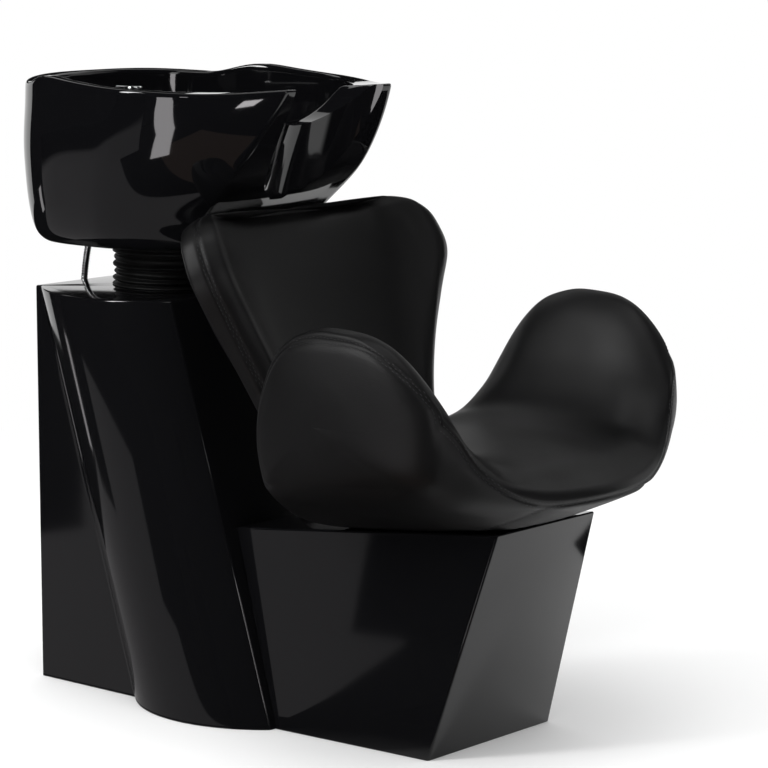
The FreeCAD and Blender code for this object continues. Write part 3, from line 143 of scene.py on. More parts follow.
def facing_out(piece, near=0.000005):
    """Points that meet are merged, and faces turned outward."""
    pick(piece)
    bpy.ops.object.mode_set(mode="EDIT")
    bpy.ops.mesh.select_all(action="SELECT")
    bpy.ops.mesh.remove_doubles(threshold=near)
    bpy.ops.mesh.normals_make_consistent(inside=False)
    bpy.ops.object.mode_set(mode="OBJECT")
    return piece


def settle(piece):
    """Place and turn go into the mesh, so that the piece sits at the origin."""
    pick(piece)
    bpy.ops.object.transform_apply(location=True, rotation=True, scale=True)
    return piece


def rod(name, radius, low, high, x, forward, sides=48):
    deselect()
    bpy.ops.mesh.primitive_cylinder_add(vertices=sides, radius=radius / 1000, depth=(high - low) / 1000,
                                        location=spot(x, forward, (low + high) / 2))
    piece = bpy.context.object
    piece.name = name
    return settle(piece)


def slab(name, x0, x1, s0, s1, z0, z1):
    deselect()
    bpy.ops.mesh.primitive_cube_add(size=1, location=spot((x0 + x1) / 2, (s0 + s1) / 2, (z0 + z1) / 2))
    piece = bpy.context.object
    piece.name = name
    piece.scale = ((x1 - x0) / 1000, (s1 - s0) / 1000, (z1 - z0) / 1000)
    return settle(piece)


def turned(name, profile, x, forward, sides=64):
    """Turned about an upright axis from (radius, height) corners, closed at both ends."""
    rows = []
    for radius, height in profile:
        turns = [2 * math.pi * i / sides for i in range(sides)]
        rows.append([spot(x + radius * math.cos(a), forward + radius * math.sin(a), height) for a in turns])
    return laid(name, rows, True)


def finish_piece(piece, body, material, slot, *stands_for):
    """Material, body and the frame nodes that the piece stands for; the finish slot is not used."""
    piece.data.materials.clear()
    piece.data.materials.append(material)
    if body:
        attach(piece, body)
    if stands_for:
        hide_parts(*stands_for)


# Shared surface effects.
def group_of(name, inputs, outputs):
    """A group of nodes with number sockets, its inputs given as (name, value)."""
    made = bpy.data.node_groups.new(name, "ShaderNodeTree")
    for label, value in inputs:
        made.interface.new_socket(name=label, in_out="INPUT", socket_type="NodeSocketFloat").default_value = value
    for label in outputs:
        made.interface.new_socket(name=label, in_out="OUTPUT", socket_type="NodeSocketFloat")
    return made, made.nodes.new("NodeGroupInput"), made.nodes.new("NodeGroupOutput")


def node(tree, kind, **settings):
    made = tree.nodes.new(kind)
    for key, value in settings.items():
        if key in made.inputs:
            made.inputs[key].default_value = value
        else:
            setattr(made, key, value)
    return made


def wire(tree, *runs):
    """Each run joins a node's output to another node's input."""
    for source, leaving, target, entering in runs:
        tree.links.new(source.outputs[leaving], target.inputs[entering])


def haze_group():
    """Slow and fine unevenness of a polished surface, as a value round zero and a speck mask."""
    made, given, out = group_of("polish_haze", [("Scale", 6.0), ("Fine", 160.0)], ["Haze", "Specks"])
    place = node(made, "ShaderNodeTexCoord")
    slow = node(made, "ShaderNodeTexNoise", Detail=3.0, Roughness=0.55)
    fine = node(made, "ShaderNodeTexNoise", Detail=2.0)
    ramp = node(made, "ShaderNodeValToRGB")
    ramp.color_ramp.elements[0].position = 0.66
    ramp.color_ramp.elements[1].position = 0.80
    wire(made, (place, "Object", slow, "Vector"), (place, "Object", fine, "Vector"),
               (given, "Scale", slow, "Scale"), (given, "Fine", fine, "Scale"), (fine, "Fac", ramp, "Fac"),
               (slow, "Fac", out, "Haze"), (ramp, "Color", out, "Specks"))
    return made


def hide_group():
    """Fine pebbled grain of leatherette with broad creasing, as a height and a mask of the grain's hollows, where
    painted shade darkens the colour.
    """
    made, given, out = group_of("hide_grain", [("Scale", 620.0), ("Crease", 0.25)], ["Height", "Hollow shade"])
    place = node(made, "ShaderNodeTexCoord")
    warp = node(made, "ShaderNodeTexNoise", Scale=90.0, Detail=2.0)
    shift = node(made, "ShaderNodeMixRGB", blend_type="ADD", Fac=0.004)
    cells = node(made, "ShaderNodeTexVoronoi", feature="DISTANCE_TO_EDGE")
    edge = node(made, "ShaderNodeMapRange", **{"From Max": 0.22})
    broad = node(made, "ShaderNodeTexNoise", Scale=26.0, Detail=4.0, Roughness=0.6)
    scaled = node(made, "ShaderNodeMath", operation="MULTIPLY")
    total = node(made, "ShaderNodeMath", operation="ADD")
    wire(made, (place, "Object", warp, "Vector"), (place, "Object", shift, "Color1"),
               (warp, "Color", shift, "Color2"), (shift, "Color", cells, "Vector"),
               (given, "Scale", cells, "Scale"), (cells, "Distance", edge, "Value"),
               (place, "Object", broad, "Vector"), (broad, "Fac", scaled, 0), (given, "Crease", scaled, 1),
               (edge, "Result", total, 0), (scaled, "Value", total, 1), (total, "Value", out, "Height"),
               (edge, "Result", out, "Hollow shade"))
    return made


HAZE = haze_group()
HIDE = hide_group()


def surfaced(name, colour, roughness, spread, metallic=0.0, bump=0.0, dust=0.0, scale=6.0):
    """A hard finish: roughness wanders by spread, dust lightens specks, and bump lifts the haze."""
    made = bpy.data.materials.new(name)
    made.use_nodes = True
    tree = made.node_tree
    shader = tree.nodes["Principled BSDF"]
    shader.inputs["Metallic"].default_value = metallic
    haze = tree.nodes.new("ShaderNodeGroup")
    haze.node_tree = HAZE
    haze.inputs["Scale"].default_value = scale
    rough = node(tree, "ShaderNodeMapRange", **{"From Min": 0.25, "From Max": 0.75,
                                                "To Min": max(0.0, roughness - spread), "To Max": roughness + spread})
    tint = node(tree, "ShaderNodeMixRGB", Color1=(*colour, 1),
                Color2=(*[min(1, c * 1.25 + dust) for c in colour], 1))
    wire(tree, (haze, "Haze", rough, "Value"), (rough, "Result", shader, "Roughness"),
               (haze, "Specks", tint, "Fac"), (tint, "Color", shader, "Base Color"))
    if bump:
        lift = node(tree, "ShaderNodeBump", Strength=bump, Distance=0.0004)
        wire(tree, (haze, "Haze", lift, "Height"), (lift, "Normal", shader, "Normal"))
    return made


def leatherette(name):
    made = bpy.data.materials.new(name)
    made.use_nodes = True
    tree = made.node_tree
    shader = tree.nodes["Principled BSDF"]
    shader.inputs["Specular IOR Level"].default_value = 0.34
    hide = tree.nodes.new("ShaderNodeGroup")
    hide.node_tree = HIDE
    haze = tree.nodes.new("ShaderNodeGroup")
    haze.node_tree = HAZE
    haze.inputs["Scale"].default_value = 9.0
    rough = node(tree, "ShaderNodeMapRange", **{"To Min": 0.40, "To Max": 0.50})
    # Painted shade: the colour is darker in the grain's hollows and lighter on its tops.
    tint = node(tree, "ShaderNodeMixRGB", Color1=(0.0012, 0.0012, 0.0015, 1), Color2=(0.0026, 0.0025, 0.0030, 1))
    lift = node(tree, "ShaderNodeBump", Strength=0.16, Distance=0.0005)
    wire(tree, (haze, "Haze", rough, "Value"), (rough, "Result", shader, "Roughness"),
               (hide, "Hollow shade", tint, "Fac"), (tint, "Color", shader, "Base Color"),
               (hide, "Height", lift, "Height"), (lift, "Normal", shader, "Normal"))
    return made


GEL_COAT = surfaced("black_gel_coat", (0.0035, 0.0035, 0.004), 0.075, 0.03, bump=0.04, scale=5.0)
GLAZE = surfaced("black_glaze", (0.003, 0.003, 0.0035), 0.04, 0.02, bump=0.02, scale=4.0)
HIDE_BLACK = leatherette("black_leatherette")
THREAD = surfaced("black_thread", (0.022, 0.022, 0.024), 0.55, 0.1, bump=0.3, scale=900.0)
CHROME = surfaced("chrome_plate", (0.78, 0.79, 0.80), 0.07, 0.03, metallic=1.0, scale=30.0)
ZINC = surfaced("zinc_steel", (0.50, 0.51, 0.52), 0.32, 0.08, metallic=1.0, bump=0.1, scale=70.0)
BRASS = surfaced("turned_brass", (0.66, 0.47, 0.20), 0.24, 0.06, metallic=1.0, scale=60.0)
RUBBER = surfaced("bellows_rubber", (0.003, 0.003, 0.003), 0.58, 0.08, bump=0.15, dust=0.006, scale=40.0)
PLASTIC = surfaced("grey_plastic", (0.26, 0.26, 0.27), 0.45, 0.08, bump=0.1, scale=50.0)
PLY = surfaced("stained_ply", (0.045, 0.034, 0.024), 0.7, 0.1, bump=0.4, scale=24.0)

# Camera at the photograph's place.
AZIMUTH, ELEVATION, DISTANCE = math.radians(-49.57), math.radians(8.934), 4.439
TARGET = Vector((0, -0.0975, 0.504))
FOCUS_PIXELS, PICTURE_PIXELS, SENSOR = 3018.6, 768, 36
level = math.cos(ELEVATION)
toward = Vector((math.sin(AZIMUTH) * level, -math.cos(AZIMUTH) * level, math.sin(ELEVATION)))
lens = bpy.data.cameras.new("camera")
lens.sensor_width = SENSOR
lens.lens = SENSOR * FOCUS_PIXELS / PICTURE_PIXELS
camera = bpy.data.objects.new("camera", lens)
bpy.context.collection.objects.link(camera)
camera.location = TARGET + toward * DISTANCE
camera.rotation_euler = (-toward).to_track_quat("-Z", "Y").to_euler()
bpy.context.scene.camera = camera
bpy.context.scene.view_settings.view_transform = "Standard"


# Studio: white world, pale floor, dark flags that only reflections see, and soft boxes.
world = bpy.data.worlds.new("studio")
bpy.context.scene.world = world
world.use_nodes = True
world.node_tree.nodes["Background"].inputs["Color"].default_value = (1, 1, 1, 1)
world.node_tree.nodes["Background"].inputs["Strength"].default_value = 1.0


def plain(name, colour, roughness):
    made = bpy.data.materials.new(name)
    made.use_nodes = True
    shader = made.node_tree.nodes["Principled BSDF"]
    shader.inputs["Base Color"].default_value = (*colour, 1)
    shader.inputs["Roughness"].default_value = roughness
    shader.inputs["Specular IOR Level"].default_value = 0.0
    return made


def pale_floor():
    """Pale floor that keeps shadows near the object and runs out to the white background."""
    made = plain("pale_floor", (0.97, 0.97, 0.97), 0.9)
    tree = made.node_tree
    shader, out = tree.nodes["Principled BSDF"], tree.nodes["Material Output"]
    place = node(tree, "ShaderNodeTexCoord")
    reach = node(tree, "ShaderNodeVectorMath", operation="LENGTH")
    fade = node(tree, "ShaderNodeMapRange", interpolation_type="SMOOTHSTEP", **{"From Min": 0.9, "From Max": 2.6})
    path = node(tree, "ShaderNodeLightPath")
    seen = node(tree, "ShaderNodeMath", operation="ADD")
    mirrored_too = node(tree, "ShaderNodeMath", operation="ADD", use_clamp=True)
    share = node(tree, "ShaderNodeMath", operation="MULTIPLY")
    white = node(tree, "ShaderNodeEmission")
    mix = node(tree, "ShaderNodeMixShader")
    wire(tree, (place, "Object", reach, 0), (reach, "Value", fade, "Value"), (path, "Is Camera Ray", seen, 0),
               (path, "Is Glossy Ray", seen, 1), (seen, "Value", mirrored_too, 0),
               (path, "Is Transmission Ray", mirrored_too, 1), (fade, "Result", share, 0),
               (mirrored_too, "Value", share, 1), (share, "Value", mix, "Fac"), (shader, "BSDF", mix, 1),
               (white, "Emission", mix, 2), (mix, "Shader", out, "Surface"))
    return made


deselect()
bpy.ops.mesh.primitive_plane_add(size=30, location=(0, 0, -0.0005))
floor = bpy.context.object
floor.name = "floor"
floor.data.materials.append(pale_floor())


def windowed_flag():
    """The dark floor card, clearing away from the plinth's front past a soft, uneven line."""
    made = plain("dark_flag_floor", (0.004, 0.004, 0.004), 1.0)
    tree = made.node_tree
    shader, out = tree.nodes["Principled BSDF"], tree.nodes["Material Output"]
    place = node(tree, "ShaderNodeTexCoord")
    axes = node(tree, "ShaderNodeSeparateXYZ")
    cloud = node(tree, "ShaderNodeTexNoise", Scale=6.0, Detail=3.0)
    slant = node(tree, "ShaderNodeMath", operation="MULTIPLY_ADD")
    slant.inputs[1].default_value = 0.62
    ahead = node(tree, "ShaderNodeMath", operation="SUBTRACT")
    shift = node(tree, "ShaderNodeMath", operation="MULTIPLY_ADD")
    shift.inputs[1].default_value = 0.10
    steps = node(tree, "ShaderNodeValToRGB")
    for spot_at, level in ((0.46, 0.0), (0.66, 0.30), (0.70, 0.85), (0.92, 1.0)):
        mark = steps.color_ramp.elements.new(spot_at)
        mark.color = (level, level, level, 1)
    steps.color_ramp.elements.remove(steps.color_ramp.elements[-1])
    steps.color_ramp.elements.remove(steps.color_ramp.elements[0])
    side = node(tree, "ShaderNodeMapRange", interpolation_type="SMOOTHSTEP", **{"From Min": -0.30, "From Max": -0.05})
    both = node(tree, "ShaderNodeMath", operation="MULTIPLY")
    clear = node(tree, "ShaderNodeBsdfTransparent")
    mix = node(tree, "ShaderNodeMixShader")
    wire(tree, (place, "Object", axes, "Vector"), (place, "Object", cloud, "Vector"), (axes, "X", slant, 0),
               (slant, "Value", ahead, 0), (axes, "Y", ahead, 1), (cloud, "Fac", shift, 0),
               (ahead, "Value", shift, 2), (shift, "Value", steps, "Fac"), (axes, "X", side, "Value"),
               (steps, "Color", both, 0), (side, "Result", both, 1), (both, "Value", mix, "Fac"),
               (shader, "BSDF", mix, 1), (clear, "BSDF", mix, 2), (mix, "Shader", out, "Surface"))
    return made


def flag(piece, material=None):
    """A dark card that stands in reflections only."""
    piece.data.materials.append(material or FLAG)
    for rays in ("camera", "diffuse", "shadow", "transmission", "volume_scatter"):
        setattr(piece, "visible_" + rays, False)


FLAG = plain("dark_flag", (0.004, 0.004, 0.004), 1.0)
FLAG_REACH, FLAG_TOP = 3.6, 4.4
turns = [math.radians(a) for a in range(90, 342, 4)]
flag(laid("flag_ring", [[Vector((FLAG_REACH * math.cos(a), FLAG_REACH * math.sin(a), high)) for a in turns]
                        for high in (0.0, FLAG_TOP)], False))
deselect()
bpy.ops.mesh.primitive_circle_add(vertices=64, radius=FLAG_REACH, location=(0, 0, FLAG_TOP), fill_type="NGON")
bpy.context.object.name = "flag_roof"
flag(bpy.context.object)
deselect()
bpy.ops.mesh.primitive_plane_add(size=2 * FLAG_REACH, location=(0, 0, 0.001))
bpy.context.object.name = "flag_floor"
settle(bpy.context.object)
flag(bpy.context.object, windowed_flag())


def glow(name, rows, colour, strength, steep=-1.0):
    """A card of one brightness that stands in reflections only, dark to rays flatter than the given steepness."""
    made = bpy.data.materials.new(name)
    made.use_nodes = True
    tree = made.node_tree
    out = tree.nodes["Material Output"]
    light = node(tree, "ShaderNodeEmission", Color=(*colour, 1))
    seen = node(tree, "ShaderNodeNewGeometry")
    axes = node(tree, "ShaderNodeSeparateXYZ")
    lit = node(tree, "ShaderNodeMapRange", **{"From Min": steep - 0.02, "From Max": steep + 0.02, "To Max": strength})
    wire(tree, (seen, "Incoming", axes, "Vector"), (axes, "Z", lit, "Value"),
               (lit, "Result", light, "Strength"), (light, "Emission", out, "Surface"))
    flag(laid(name, rows, False), made)


def upright(radius, turns, low, high):
    """Two rows of a curved upright card round the middle, between two directions in degrees."""
    steps = [math.radians(turns[0] + (turns[1] - turns[0]) * k / 8) for k in range(9)]
    return [[Vector((radius * math.cos(a), radius * math.sin(a), z)) for a in steps] for z in (low, high)]


GREY, WARM = (1.0, 0.97, 0.99), (1.0, 0.72, 0.58)


def level_card(name, corners, height, colour, strength, steep=-1.0):
    near, far = [[Vector((x, y, height)) for x, y in corners[k:k + 2]] for k in (0, 2)]
    glow(name, [near, far], colour, strength, steep)


level_card("grey_floor_card", ((-0.22, 0.02), (-2.2, 0.80), (0.1, 0.9), (-1.0, 2.6)), 0.003, GREY, 0.28)
glow("grey_card_column", upright(1.85, (122, 152), 0.0, 0.40), GREY, 0.28)
glow("grey_card_basin", upright(1.9, (110, 174), 0.0, 0.75), GREY, 0.26, 0.21)
glow("crease_card", upright(2.3, (104, 107), 0.0, 0.30), GREY, 1.8)
STRIP_EDGES = [[(-1.20, -0.20, 0.03), (-2.1, -0.52, 0.08), (-2.8, -0.52, 0.31), (-2.95, -0.56, 0.58)],
               [(-1.30, 0.02, 0.03), (-2.2, -0.18, 0.08), (-2.85, -0.10, 0.31), (-3.0, -0.12, 0.58)]]
glow("strip_card", [[Vector(p) for p in edge] for edge in STRIP_EDGES], GREY, 5.0, 0.10)
glow("inner_strip_card", upright(2.0, (-104, -98), 0.55, 1.2), GREY, 6.0)
glow("inner_patch_card", upright(2.0, (-167, -163.5), 0.80, 0.98), GREY, 6.0, -0.08)
level_card("outer_patch_card", ((-1.78, -1.40), (-1.54, -1.48), (-1.70, -1.22), (-1.48, -1.30)), 0.01, GREY, 10.0,
           0.25)
level_card("warm_card", ((-1.6, -0.75), (-0.38, -0.75), (-1.6, -0.15), (-0.38, -0.05)), 0.004, WARM, 0.16, 0.30)
flag(laid("flag_far", upright(3.5, (-22, 90), 1.25, 2.6), False))
flag(laid("flag_ears", [[Vector((x, y, 0.002)) for x in (0.70, 1.45)] for y in (-0.62, 0.30)], False))


def soft_box(name, place, aim, width, height, radiance):
    """A rectangular lamp whose face shows with the given brightness in a mirror."""
    data = bpy.data.lights.new(name, "AREA")
    data.shape = "RECTANGLE"
    data.size = width
    data.size_y = height
    data.energy = radiance * math.pi * width * height
    made = bpy.data.objects.new(name, data)
    bpy.context.collection.objects.link(made)
    made.location = place
    made.rotation_euler = (Vector(aim) - Vector(place)).to_track_quat("-Z", "Y").to_euler()
    made.visible_camera = False


soft_box("top_box", (-0.4, -0.6, 3.4), (0, 0, 0.5), 1.6, 1.6, 2.0)
soft_box("left_strip", (-2.6, 0.9, 2.4), (0, 0.0, 0.7), 0.40, 1.8, 22.0)
soft_box("front_strip", (-0.6, -3.0, 1.9), (0, -0.2, 0.6), 0.5, 1.4, 2.5)
soft_box("right_box", (2.6, -1.4, 1.9), (0, 0, 0.6), 1.0, 1.4, 0.6)

# Chrome hose from the hand shower down behind the column and back up to the tap.
HOSE_ROUTE = [(-66, 48, 762), (-66, 48, 738), (-60, 31, 709), (-52, 9, 682), (-46, -6, 645), (-43, -15, 598),
              (-42, -23, 540), (-43, -31, 482), (-43, -36, 432), (-34, -38, 393), (-9, -37, 365), (27, -32, 360),
              (56, -26, 383), (69, -21, 426), (72, -18, 482), (71, -16, 544), (67, -13, 606), (57, -5, 656),
              (38, 15, 692), (13, 38, 718), (0, 49.5, 750), (0, 49.5, 780)]
HOSE_RADIUS, HOSE_RIB, HOSE_SIDES = 5.8, 0.9, 12


def hose_line():
    """The route's own smooth line, read as points."""
    data = bpy.data.curves.new("hose_route", "CURVE")
    data.dimensions = "3D"
    data.resolution_u = 24
    line = data.splines.new("NURBS")
    line.points.add(len(HOSE_ROUTE) - 1)
    for point, at in zip(line.points, HOSE_ROUTE):
        point.co = (*spot(*at), 1)
    line.order_u = 3
    line.use_endpoint_u = True
    holder = bpy.data.objects.new("hose_route", data)
    bpy.context.collection.objects.link(holder)
    bpy.context.view_layer.update()
    mesh = bpy.data.meshes.new_from_object(holder)
    points = [v.co.copy() for v in mesh.vertices]
    bpy.data.objects.remove(holder)
    return points


def along(points, step):
    """Places a step apart along a line of points, each with its direction."""
    reach = [0.0]
    for a, b in zip(points, points[1:]):
        reach.append(reach[-1] + (b - a).length)
    count = max(2, round(reach[-1] / step))
    out = []
    j = 0
    for i in range(count + 1):
        want = reach[-1] * i / count
        while j < len(points) - 2 and reach[j + 1] < want:
            j += 1
        span = reach[j + 1] - reach[j]
        t = (want - reach[j]) / span if span else 0
        out.append((points[j].lerp(points[j + 1], t), (points[j + 1] - points[j]).normalized()))
    return out, reach[-1]


def ribbed_hose():
    points = hose_line()
    stations, length = along(points, 0.00115)
    side = Vector((1, 0, 0))
    rows = []
    for i, (at, ahead) in enumerate(stations):
        side = (side - ahead * side.dot(ahead)).normalized()
        up = ahead.cross(side)
        wave = 0.5 + 0.5 * math.cos(2 * math.pi * i / 4)
        radius = (HOSE_RADIUS - HOSE_RIB + HOSE_RIB * wave) / 1000
        turns = [2 * math.pi * k / HOSE_SIDES for k in range(HOSE_SIDES)]
        rows.append([at + (side * math.cos(a) + up * math.sin(a)) * radius for a in turns])
    rows.insert(0, [stations[0][0]] * HOSE_SIDES)
    rows.append([stations[-1][0]] * HOSE_SIDES)
    piece = smooth_shaded(laid("chrome_hose", rows, True))
    finish_piece(piece, None, CHROME, "chrome", "shower_hose")
    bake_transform(piece)


ribbed_hose()


# Basin: rows from the foot up the outside, over the rim and neck rest, down to the bowl's floor.
RIM, FOOT, REACH, EAR, OVERHANG, DECK, BOWL = 936, 690, 488, 116, 36, 852, 757
BASIN_HALF, BASIN_WALL, BOWL_HALF, BOWL_REACH, BOWL_WALL, BOWL_SQUARE, EAR_FLARE = 255, 16, 230, 372, 14, 2.6, 42
NECK_RADIUS, NECK_AXIS, NECK_EDGE, FOOT_MIDDLE = 95, 970, 92, 165
ABOVE_DECK, BELOW_DECK = 12, 14
TILT, WASTE, MIXER, SHOWER = 150, 195, 40, (-66, 48)
RECESS_RADIUS, RECESS_DEPTH, RECESS_LEAN = 106, 88, 0.35
RIM_RISES = [(-66, 10), (-36, 9), (5, 4), (48, 0), (66, 1.5), (92, 13.5), (112, 15), (190, 6.3), (280, 0), (390, -5),
             (440, -3), (476, 0), (528, 3)]
RIM_LINE = [(forward, RIM + rise) for forward, rise in RIM_RISES]
# Share of the height, rear's set-back, sides' draft, widest place, ears' draft, front's set-back, and, for the
# outside, how square the rear's corners are.
OUTSIDE = [(0.00, -37, 70, 165, 8, 192, 4.0), (0.06, -25, 48, 175, 12, 180, 3.8),
           (0.18, -17, 30, 190, 16, 162, 3.5), (0.45, -8, 9, 215, 26, 88, 3.1), (0.70, -1, 0, 235, 18, 42, 2.9),
           (0.92, -1, 0, 242, 4, 8, 2.8), (1.10, -5, -1, 245, -6, -12, 2.8)]
INSIDE = [(0.00, 28, 130, 200, 40, 86), (0.36, 14, 66, 215, 22, 44), (0.70, 6, 26, 230, 8, 18),
          (1.00, 0, 4, 238, 2, 4)]
FRONT_PARTS = [0, 0.205, 0.40, 0.558, 0.651, 0.711, 0.744, 0.777, 0.823, 0.879, 0.94, 1.0]
SIDE_PARTS = [0.975, 0.93, 0.86, 0.77, 0.66, 0.54, 0.42, 0.30, 0.18, 0.08, 0.0]
REAR_TURNS = [8, 16, 24, 32, 40, 48, 56, 64, 71, 77, 82, 86, 90]


def rim_height(forward):
    return through(RIM_LINE, forward)[0]


def top_height(x, forward):
    """Height of the rim, or of the neck rest where it is scooped out."""
    height = rim_height(forward)
    if forward > 300 and abs(x) < NECK_RADIUS:
        height = min(height, NECK_AXIS - math.sqrt(NECK_RADIUS ** 2 - x ** 2))
    return height


def outline_point(column, rear, half, widest, corner, front, square, flare=0):
    kind, part = column
    if kind == "front":
        return part * corner, front + flare * part ** 2.4
    if kind == "side":
        return half - (half - corner) * part ** 1.9, widest + (front + flare - widest) * part
    a = math.radians(part)
    c, s = max(0.0, math.cos(a)), math.sin(a)
    return half * c ** (2 / square), widest - (widest - rear) * s ** (2 / square)


def outside_point(column, part, inset=0):
    rear, narrow, widest, corner, short, square = through(OUTSIDE, part)
    return outline_point(column, -OVERHANG - rear + inset, BASIN_HALF - narrow - inset, widest, EAR + corner - inset,
                         REACH - short - inset, square)


def ear_flare(height):
    return EAR_FLARE * min(1, max(0, (height - 800) / 80))


def upper_point(column, height):
    """The wall above the deck's level, flaring forward to the ears."""
    part = (height - DECK) / (RIM + 40 - DECK)
    more, reach = through([(0, 0, -4), (0.45, 4, 3), (1, 6, 12)], part)
    return outline_point(column, -16, BOWL_HALF + more, 238, 94 + 8 * part, BOWL_REACH + reach, BOWL_SQUARE,
                         ear_flare(height))


def bowl_point(column, height, grow=0, low=BOWL):
    rear, narrow, widest, corner, short = through(INSIDE, (height - low) / (DECK - low))
    return outline_point(column, 86 + rear - grow, BOWL_HALF - narrow + grow, widest, 96 - corner + grow,
                         BOWL_REACH - short + grow, BOWL_SQUARE, ear_flare(height))


def basin_columns():
    parts = (("front", FRONT_PARTS), ("side", SIDE_PARTS), ("rear", REAR_TURNS))
    return [(kind, part) for kind, places in parts for part in places]


def mirrored(half_row):
    """A whole ring from its right half, front middle to rear middle."""
    return half_row + [Vector((-p.x, p.y, p.z)) for p in reversed(half_row[1:-1])]


def rim_share(column):
    """Share of the basin's height at which the outside meets the rim."""
    low, high = 0.5, 1.09
    for _ in range(40):
        middle = (low + high) / 2
        if FOOT + middle * (RIM - FOOT) < top_height(*outside_point(column, middle)):
            low = middle
        else:
            high = middle
    return low


def wall_path(column, top):
    """From the foot's middle up the outside, to just below the rim."""
    rise = RIM - FOOT
    x, forward = outside_point(column, 0)
    path = [spot(0, FOOT_MIDDLE, FOOT)]
    path += [spot(k * x, FOOT_MIDDLE + k * (forward - FOOT_MIDDLE), FOOT) for k in (0.55, 0.965)]
    shares = [part * top for part in (0.012, 0.05, 0.11, 0.20, 0.32, 0.46, 0.60, 0.73, 0.84, 0.92)]
    shares += [top - below / rise for below in (9, 3)]
    return path + [spot(*outside_point(column, at), FOOT + at * rise) for at in shares]


def rim_path(column, top):
    """Over the rim or the neck rest, and down inside to just above the deck."""
    kind, part = column
    ox, o_s = outside_point(column, top)
    inner_top = top_height(*upper_point(column, rim_height(o_s)))
    for _ in range(6):
        ix, i_s = upper_point(column, inner_top)
        if kind == "front" and ox < NECK_EDGE:
            ix = min(ox, ix + 6 * part ** 3)
        inner_top = top_height(ix, i_s)
    wide = math.hypot(ix - ox, i_s - o_s)
    near = min(7.0, 0.3 * wide)
    flanks = (0.26, 0.74) if wide > 40 else (0.42, 0.58)
    path = []
    for run in (2.5, near, flanks[0] * wide, 0.5 * wide, flanks[1] * wide, wide - near, wide - 2.5):
        x, forward = ox + (ix - ox) * run / wide, o_s + (i_s - o_s) * run / wide
        path.append(spot(x, forward, top_height(x, forward)))
    for below in (3, 9):
        start = inner_top - below
        x, forward = upper_point(column, start)
        path.append(spot(ix if kind == "front" and abs(ix) < NECK_EDGE else x, forward, start))
    for share in (0.25, 0.5, 0.75):
        height = start + (DECK + ABOVE_DECK - start) * share
        path.append(spot(*upper_point(column, height), height))
    return path


def deck_path(column):
    """Across the deck, or straight down where it is narrow, to just below its edge."""
    ax, a_s = upper_point(column, DECK + ABOVE_DECK)
    bx, b_s = upper_point(column, DECK)
    cx, c_s = bowl_point(column, DECK)
    dx, d_s = bowl_point(column, DECK - BELOW_DECK)
    across = math.hypot(cx - bx, c_s - b_s)
    if across > 14:
        near = min(5.0, 0.3 * across)
        lane = [(ax, a_s, DECK + ABOVE_DECK), (bx, b_s, DECK + 4)]
        for run in (near, 0.3 * across, 0.5 * across, 0.7 * across, across - near):
            lane.append((bx + (cx - bx) * run / across, b_s + (c_s - b_s) * run / across, DECK))
        lane += [(cx, c_s, DECK - 4), (dx, d_s, DECK - BELOW_DECK)]
    else:
        lane = [(ax + (dx - ax) * i / 8, a_s + (d_s - a_s) * i / 8,
                 DECK + ABOVE_DECK - (ABOVE_DECK + BELOW_DECK) * i / 8) for i in range(9)]
    return [spot(*p) for p in lane]


def bowl_path(column):
    """Down the bowl and over its floor to the waste."""
    heights = [BOWL + part * (DECK - BOWL) for part in (0.72, 0.58, 0.44, 0.31, 0.20, 0.11, 0.045)]
    path = [spot(*bowl_point(column, height), height) for height in heights]
    x, forward = bowl_point(column, BOWL)
    path.append(spot(0.93 * x, WASTE + 0.93 * (forward - WASTE), BOWL))
    turn = math.atan2(forward - WASTE, x)
    path += [spot(r * math.cos(turn), WASTE + r * math.sin(turn), BOWL) for r in (58, 35, 25)]
    return path + [spot(0, WASTE, BOWL)]


def basin_form():
    paths = []
    for column in basin_columns():
        top = rim_share(column)
        paths.append(wall_path(column, top) + rim_path(column, top) + deck_path(column) + bowl_path(column))
    return rounded(laid("ceramic_basin", [mirrored(list(row)) for row in zip(*paths)], True), 2)


def lofted_tool(name, heights, point):
    """A tool from one ring at each height, whose points the given function finds."""
    columns = basin_columns()
    return capped(name, [mirrored([spot(*point(column, height), height) for column in columns])
                         for height in heights])


def capped(name, rows):
    """Rings joined into a tool, each end closed to its middle."""
    first, last = rows[0], rows[-1]
    rows.insert(0, [sum(first, Vector()) / len(first)] * len(first))
    rows.append([sum(last, Vector()) / len(last)] * len(last))
    return laid(name, rows, True)


def neck_recess(name, grow):
    """The hollow between the two ears: a round hole that leans back with the front face."""
    stretch = math.sqrt(1 + RECESS_LEAN ** 2)
    radius = RECESS_RADIUS + grow
    rows = []
    for height in range(FOOT - 40, RIM + 100, 12):
        middle = REACH - RECESS_DEPTH + stretch * RECESS_RADIUS + RECESS_LEAN * (height - NECK_AXIS + NECK_RADIUS)
        turns = [2 * math.pi * (i + 0.5) / 160 for i in range(160)]
        rows.append([spot(radius * math.cos(a), middle + stretch * radius * math.sin(a), height) for a in turns])
    return capped(name, rows)


def basin():
    piece = carved(basin_form(), [neck_recess("recess", 0)])
    hollow = lofted_tool("hollow_tool", [688, 705, 730, 760, 790, 815, 838],
                         lambda c, h: outside_point(c, max(0, (h - FOOT) / (RIM - FOOT)), BASIN_WALL))
    bowl = lofted_tool("bowl_tool", [743, 752, 765, 785, 805, 830, 852],
                       lambda c, h: bowl_point(c, h, BOWL_WALL, BOWL - BOWL_WALL))
    carved(hollow, [bowl, neck_recess("recess_wall", BASIN_WALL)])
    carved(piece, [hollow])
    carved(piece, [slab("hose_gap", -95, 95, -40, 40, 680, 719), rod("waste_gap", 24, 735, 765, 0, WASTE),
                   rod("tap_gap", 17.5, 830, 860, 0, MIXER), rod("shower_gap", 17.5, 830, 860, *SHOWER)])
    finish_piece(smooth_shaded(piece, 40), "basin", GLAZE, "black_glaze", "basin_rim", "basin_apron", "basin_bowl")


basin()

